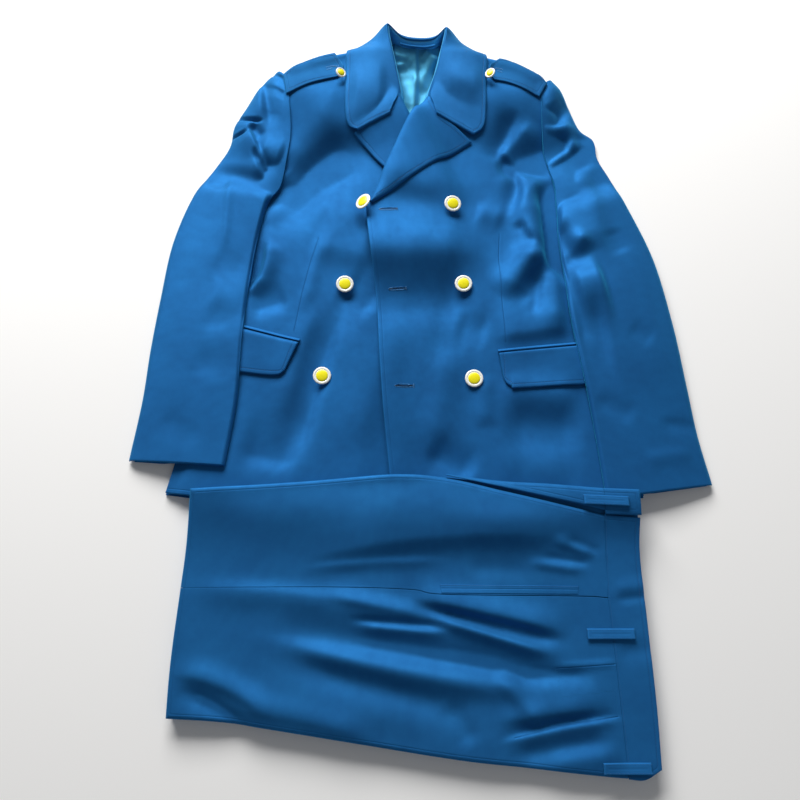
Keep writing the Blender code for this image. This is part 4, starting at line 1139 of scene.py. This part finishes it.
def button(name, x, y, lean_x, lean_y, width=BUTTON_WIDTH):
    """A turned profile over the pile. Leans are in degrees, to the right and to the collar."""
    radius = width / 2.0
    angles = np.linspace(0.0, math.tau, BUTTON_SIDES, endpoint=False)
    roped = 1.0 + ROPE_DEPTH * np.cos(angles * BUTTON_SIDES / 4.0)
    rings = []
    for number, (out, up) in enumerate(BUTTON_PROFILE):
        reach = radius * out * (roped if number in ROPED else 1.0)
        rings.append(np.column_stack([reach * np.cos(angles), reach * np.sin(angles),
                                      np.full(BUTTON_SIDES, up * BUTTON_HEIGHT)]))
    points = np.vstack(rings + [[(0.0, 0.0, 0.0)], [(0.0, 0.0, CROWN * BUTTON_HEIGHT)]])
    turn = Euler((-math.radians(lean_y), math.radians(lean_x), 0.0)).to_matrix()
    leaned = math.sin(math.radians(math.hypot(lean_x, lean_y))) * radius
    below = [(x, y)] + [(x + 0.5 * radius * math.cos(a), y + 0.5 * radius * math.sin(a)) for a in angles]
    pile = float(table.read(table.height, np.array([below])).max())
    points = points @ np.array(turn).T + (x, y, pile + SHANK_SPACE + leaned * LEAN_LIFT)
    step = np.arange(BUTTON_SIDES)
    after = np.roll(step, -1)
    last = (len(BUTTON_PROFILE) - 1) * BUTTON_SIDES
    faces = []
    for base in range(0, last, BUTTON_SIDES):
        a, b = base + step, base + after
        faces += np.stack([a, b, b + BUTTON_SIDES, a + BUTTON_SIDES], -1).tolist()
    gilded = [number >= GILT_FROM * BUTTON_SIDES for number in range(len(faces))]
    low, high = len(points) - 2, len(points) - 1
    faces += [(low, b, a) for a, b in zip(step.tolist(), after.tolist())]
    faces += [(high, last + a, last + b) for a, b in zip(step.tolist(), after.tolist())]
    gilded += [False] * BUTTON_SIDES + [True] * BUTTON_SIDES
    piece = made(name + "_metal", points, faces, [silver, gilt])
    piece.data.polygons.foreach_set("material_index", np.array(gilded, int))
    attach(piece, "root")
    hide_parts(name)


BUTTONS = [
    # x, y, lean to the right, lean towards the collar
    (-80, 252, -32, 8), (-107, 128, 4, -4), (-136, -11, 3, -2),
    (51, 254, 8, -5), (65, 129, 0, -4), (76, -16, 0, -2),
]
for number, row in enumerate(BUTTONS, 1):
    button(f"button_{number}", *row)
button("strap_button_left", -120, 476, 26, -3, STRAP_BUTTON_WIDTH)
button("strap_button_right", 114, 474, -28, -1, STRAP_BUTTON_WIDTH)


# Trousers, folded leg on leg along the creases and once more across the knee. The hidden
# layers show only as a row of folds along the edges.

TROUSER_BLUE = (0.018, 0.148, 0.400)
TROUSER_SHADE = (0.011, 0.080, 0.245)
STACK_SOUTH = [(-311, -450), (-240, -455), (-120, -472), (35, -494), (130, -504), (215, -513),
               (262, -516), (284, -506)]
STACK_EAST = [(284, -506), (285, -440), (283, -366), (280, -290), (284, -200), (284, -176)]
STACK_NORTH = [(-301, -173), (-160, -165), (-38, -156), (34, -157), (105, -165), (172, -167), (284, -176)]
STACK_WEST = [(-311, -450), (-311, -384), (-307, -310), (-303, -230), (-301, -173)]
STACK_THICK = 12.0
STACK_LAYERS = 4
LEAF_STEPS = 6
LEAF_DEPTH = 2.6
LEAF_OUT = 1.5            # of the leaves' folds past the plan

trouser_blue = gabardine("trouser_gabardine", TROUSER_BLUE, TROUSER_SHADE, 84.0)


def folded_stack():
    """Bottom and top follow the pile; the rim is a row of rounded leaves."""
    plan = panel(STACK_SOUTH, STACK_EAST, STACK_NORTH, STACK_WEST, 6.0)
    bottom, top = table.under(plan, reach=10.0, easing=30), table.read(leg_base, plan)
    quads, rim = grid_faces(*plan.shape[:2])
    around = plan.reshape(-1, 2)[rim]
    tangent = np.roll(around, -1, axis=0) - np.roll(around, 1, axis=0)
    outward_of = np.column_stack([tangent[:, 1], -tangent[:, 0]]) / np.linalg.norm(tangent, axis=1)[:, None]
    points = [np.dstack([plan, bottom]).reshape(-1, 3), np.dstack([plan, top]).reshape(-1, 3)]
    rings = [rim]
    steps_up = STACK_LAYERS * LEAF_STEPS
    for step in range(1, steps_up):
        bulge = abs(math.sin(math.pi * step / LEAF_STEPS)) ** 0.5
        uneven = 0.8 * unevenness(around, 60.0, 60 + step // LEAF_STEPS)[:, None]
        spot = around + outward_of * (LEAF_OUT - LEAF_DEPTH * (1.0 - bulge) + uneven * bulge)
        rise = bottom.reshape(-1)[rim] + (top - bottom).reshape(-1)[rim] * step / steps_up
        points.append(np.column_stack([spot, rise]))
        rings.append(2 * bottom.size + (step - 1) * len(rim) + np.arange(len(rim)))
    rings.append(rim + bottom.size)
    points = np.vstack(points)
    faces = [quads[:, ::-1], quads + bottom.size]
    for lower, upper in zip(rings, rings[1:]):
        faces.append(np.stack([lower, np.roll(lower, -1), np.roll(upper, -1), upper], -1))
    far = np.full(len(points), FAR)
    piece = made("trouser_layers_cloth", points, np.concatenate(faces).tolist(), [trouser_blue],
                 from_edge=far, from_seam=far)
    surface = np.dstack([plan, top])
    declare(piece, "trouser_layers", surface)
    table.lay(surface)


leg_base = table.limp(reach=10.0, easing=500, blur=400) + STACK_THICK
folded_stack()


# Outer layers of the trousers: front and back panel of the leg on top, joined by the side
# seam with its pocket, the strip of the leg beneath, and both waistbands with their loops.

TROUSER_FOLDS = [
    (-150, -258, 200, -232, 14, 50, 17, 7.5),
    (60, -216, 236, -214, 0, 20, 24, 3.0),
    (-150, -274, 30, -264, 3, 5, 8, 2.0),
    (60, -272, 140, -274, 0, 12, 12, -1.5),
    (172, -238, 226, -256, 0, 9, 6, 3.0),
    (188, -236, 232, -252, 0, 6, 6, -2.0),
    (140, -266, 210, -276, 0, 8, 6, 2.5),
    (156, -258, 218, -267, 0, 5, 5, -2.0),
    (-290, -300, 10, -340, 10, 12, 18, 4.0),
    (-6, -308, 180, -348, 0, 18, 8, 6.0),
    (-6, -320, 176, -362, 0, 7, 8, -7.0),
    (10, -331, 164, -378, 0, 8, 9, 8.0),
    (-196, -346, 176, -402, -5, 20, 12, -7.0),
    (-120, -304, 14, -332, 0, 12, 8, 4.0),
    (-90, -335, 34, -344, 0, 5, 5, -3.0),
    (-84, -343, 34, -353, 0, 4, 9, 3.5),
    (-176, -362, 124, -421, -4, 20, 15, 7.5),
    (-166, -386, 56, -441, -4, 14, 20, -5.0),
    (-305, -398, -190, -444, 8, 16, 9, 5.0),
    (-300, -420, -208, -468, 6, 9, 14, -4.5),
    (-236, -436, -60, -470, 3, 18, 12, 5.0),
    (-210, -415, 10, -452, 4, 26, 26, 2.0),
    (92, -402, 146, -462, 3, 16, 11, 5.0),
    (104, -402, 212, -402, 0, 9, 10, -4.0),
    (166, -392, 244, -387, 0, 4, 5, 1.5),
    (130, -424, 232, -432, 0, 20, 20, 3.5),
    (94, -452, 206, -439, 0, 14, 8, 4.0),
    (98, -472, 240, -448, 3, 8, 3.5, -3.5),
    (104, -477, 240, -452, 3, 2.5, 9, 3.0),
    (106, -494, 226, -476, 0, 10, 12, -4.0),
    (34, -434, 62, -480, 0, 12, 14, -3.0),
    (150, -500, 240, -490, 0, 12, 12, 3.0),
    (-306, -178, 60, -160, 0, 9, 22, -1.6),
    (250, -298, 290, -294, 0, 10, 8, 1.5),
    (246, -312, 290, -308, 0, 6, 6, -1.2),
    (246, -376, 290, -370, 0, 12, 12, -1.5),
]
TROUSER_LOFT = 4.0
TROUSER_PATCHES = [(0.6, 42.0), (0.1, 15.0)]
SIDE_SEAM = [(-309, -297), (-120, -296), (-14, -299), (30, -305), (200, -307), (238, -309)]
BACK_DARTS = [[(168, -394), (240, -389)], [(112, -473), (166, -460), (240, -449)]]
FOLD_EDGE = 5.0           # radius of a folded edge
BEHIND_RISE = 5.0         # of the leg beneath, towards the leg on top
LEG_STEP = 2.6
SEAM_GAP = 0.25           # between the front and the back panel


def trouser_height(plan, seed=72):
    """Loft and folds over the stack, the same for all pieces so that they are level."""
    soft = soft_folds(plan, TROUSER_FOLDS, TROUSER_PATCHES, seed)
    return table.read(leg_base, plan) + WALL + TROUSER_LOFT + np.maximum(soft, -TROUSER_LOFT)


def behind_height(plan, lift):
    """The leg beneath rises towards the leg on top."""
    lower = np.linspace(1.0, 0.0, plan.shape[0])[:, None]
    return table.read(leg_base, plan) + WALL + lift + BEHIND_RISE * np.sin(0.5 * math.pi * lower)


def trouser_piece(node, plan, height, rests_on, sides, edge, **more):
    """A panel of the trousers' cloth, level with its neighbours."""
    return cloth(node, plan, height, trouser_blue, rests_on, "trouser_cloth", sides=sides, edge=edge,
                 settle=False, **more)


behind_plan = strip([(34, -154.5), (107, -170), (157, -181), (215, -194), (239, -200)],
                    [(33, -152), (105, -161), (172, -165), (239, -171)], LEG_STEP)
trouser_piece("trouser_front_behind", behind_plan, behind_height(behind_plan, 1.0), ["trouser_layers"],
              "ns", 2.0)
band_plan = strip([(239.4, -205), (287, -206)], [(239.4, -171), (286, -173)], LEG_STEP)
trouser_piece("waistband_behind", band_plan, behind_height(band_plan, 1.2), ["trouser_layers"], "nes", 1.8)

front_plan = panel(SIDE_SEAM, [(238, -309), (239, -260), (239, -205)],
                   [(-303, -171), (-160, -162), (-38, -153), (34, -157), (107, -174), (157, -185.5),
                    (215, -199), (239, -205)],
                   [(-309, -297), (-305, -230), (-303, -171)], LEG_STEP)
below_seam = [(x, y - SEAM_GAP) for x, y in SIDE_SEAM]
seat_plan = panel([(-314, -452), (-240, -457), (-120, -474), (35, -497), (130, -507), (219, -516), (246, -518)],
                  [(246, -518), (242, -400), (238, -310)], below_seam,
                  [(-314, -452), (-314, -384), (-309, -297.25)], LEG_STEP)
waist_plan = panel([(246.3, -518.3), (266, -519), (287, -508)],
                   [(287, -508), (288, -437), (286, -340), (284, -260), (286, -209)],
                   [(239.3, -205), (286, -209)],
                   [(246.3, -518.3), (242.3, -400), (238.3, -309), (239.3, -260), (239.3, -205)], 2.2)
heights = [trouser_height(plan) for plan in (front_plan, seat_plan, waist_plan)]
first, second = (from_line(seat_plan, dart) for dart in BACK_DARTS)
darts = np.where(np.abs(second) < np.abs(first), second, first)
trouser_piece("trouser_front", front_plan, heights[0], ["trouser_layers", "trouser_front_behind"],
              "nw", FOLD_EDGE)
trouser_piece("trouser_back", seat_plan, heights[1], ["trouser_layers"], "sw", FOLD_EDGE, seam=darts)
waist_top = trouser_piece("waistband", waist_plan, heights[2], ["trouser_layers"], "nes", 1.8)
stitched("waistband_stitches", [inset(waist_top, "w", 1.6, 3.0), inset(waist_top, "e", STITCHED, 3.0)],
         "trouser_cloth")

pocket_plan = strip([(26, -304), (200, -305.6)], [(24, -293), (201, -295)], 1.8)
pocket_height = table.under(pocket_plan, reach=0.0, easing=2) + 0.45
pocket_top = trouser_piece("trouser_pocket_edge", pocket_plan, pocket_height, ["trouser_front"], "s", 1.0,
                           wall=THIN_WALL)
stitched("pocket_stitches", [inset(pocket_top, "n", 0.8, 1.0)], "trouser_cloth")

LOOPS = [
    # name, left x, left y, right x, right y
    ("belt_loop_top", 212, -186, 270, -189),
    ("belt_loop_middle", 208, -353, 268, -353),
    ("belt_loop_bottom", 216, -506, 274, -506),
]
HALF_LOOP = 6.5           # half the width of a belt loop
LOOP_SLANT = 2.6          # higher on the side away from the collar
for name, left_x, left_y, right_x, right_y in LOOPS:
    loop_plan = strip([(left_x, left_y - HALF_LOOP), (right_x, right_y - HALF_LOOP)],
                      [(left_x, left_y + HALF_LOOP), (right_x, right_y + HALF_LOOP)], 1.6)
    raised_side = np.linspace(1.0, 0.0, loop_plan.shape[0])[:, None]
    loop_height = table.under(loop_plan, reach=4.0, easing=8) + THIN_WALL + 1.2 + LOOP_SLANT * raised_side
    loop_top = cloth(name, loop_plan, loop_height, trouser_blue, ["waistband"], "trouser_cloth", THIN_WALL,
                     edge=1.1)
    stitched(name + "_stitches", [inset(loop_top, side, 1.8, 1.0) for side in "ns"], "trouser_cloth")


# The stage: a pale table, a large soft window beyond the collar and a weak fill, and the
# camera of the photograph, almost straight above.

FLOOR_SINK = 0.0006       # metres below the cloth

floor_mesh = bpy.data.meshes.new("table")
floor_mesh.from_pydata([(-4, -4, 0), (4, -4, 0), (4, 4, 0), (-4, 4, 0)], [], [(0, 1, 2, 3)])
pale = Finish("pale_table")
pale.set(base_color=(0.96, 0.96, 0.96, 1.0), roughness=0.7)
floor_mesh.materials.append(pale.material)
floor_plane = placed("table", floor_mesh)
floor_plane.location.z = -FLOOR_SINK


def soft_light(name, place, size, power, colour):
    """A rectangular light that faces the middle of the table."""
    lamp = bpy.data.lights.new(name, "AREA")
    lamp.shape = "RECTANGLE"
    lamp.size, lamp.size_y = size
    lamp.energy = power
    lamp.color = colour
    lit = placed(name, lamp)
    lit.location = place
    direction = -np.array(place)
    tilt = math.acos(-direction[2] / np.linalg.norm(direction))
    lit.rotation_euler = (tilt, 0.0, math.atan2(direction[1], direction[0]) - math.pi / 2)


soft_light("window", (-0.75, 2.93, 1.68), (2.6, 1.5), 215.0, (1.0, 0.985, 0.96))
soft_light("fill", (0.9, -1.4, 1.9), (1.8, 1.8), 3.0, (0.92, 0.96, 1.0))

world = bpy.data.worlds.new("room")
world.use_nodes = True
background = world.node_tree.nodes["Background"]
background.inputs["Color"].default_value = (0.95, 0.97, 1.0, 1.0)
background.inputs["Strength"].default_value = 0.15
bpy.context.scene.world = world
bpy.context.scene.view_settings.view_transform = "Standard"

camera = bpy.data.cameras.new("camera")
camera.sensor_width = 36.0
camera.lens = 31.5
above = placed("camera", camera)
above.location = (-0.026, -0.3425, 0.945)
above.rotation_euler = (math.radians(16.0), 0.0, 0.0)
bpy.context.scene.camera = above
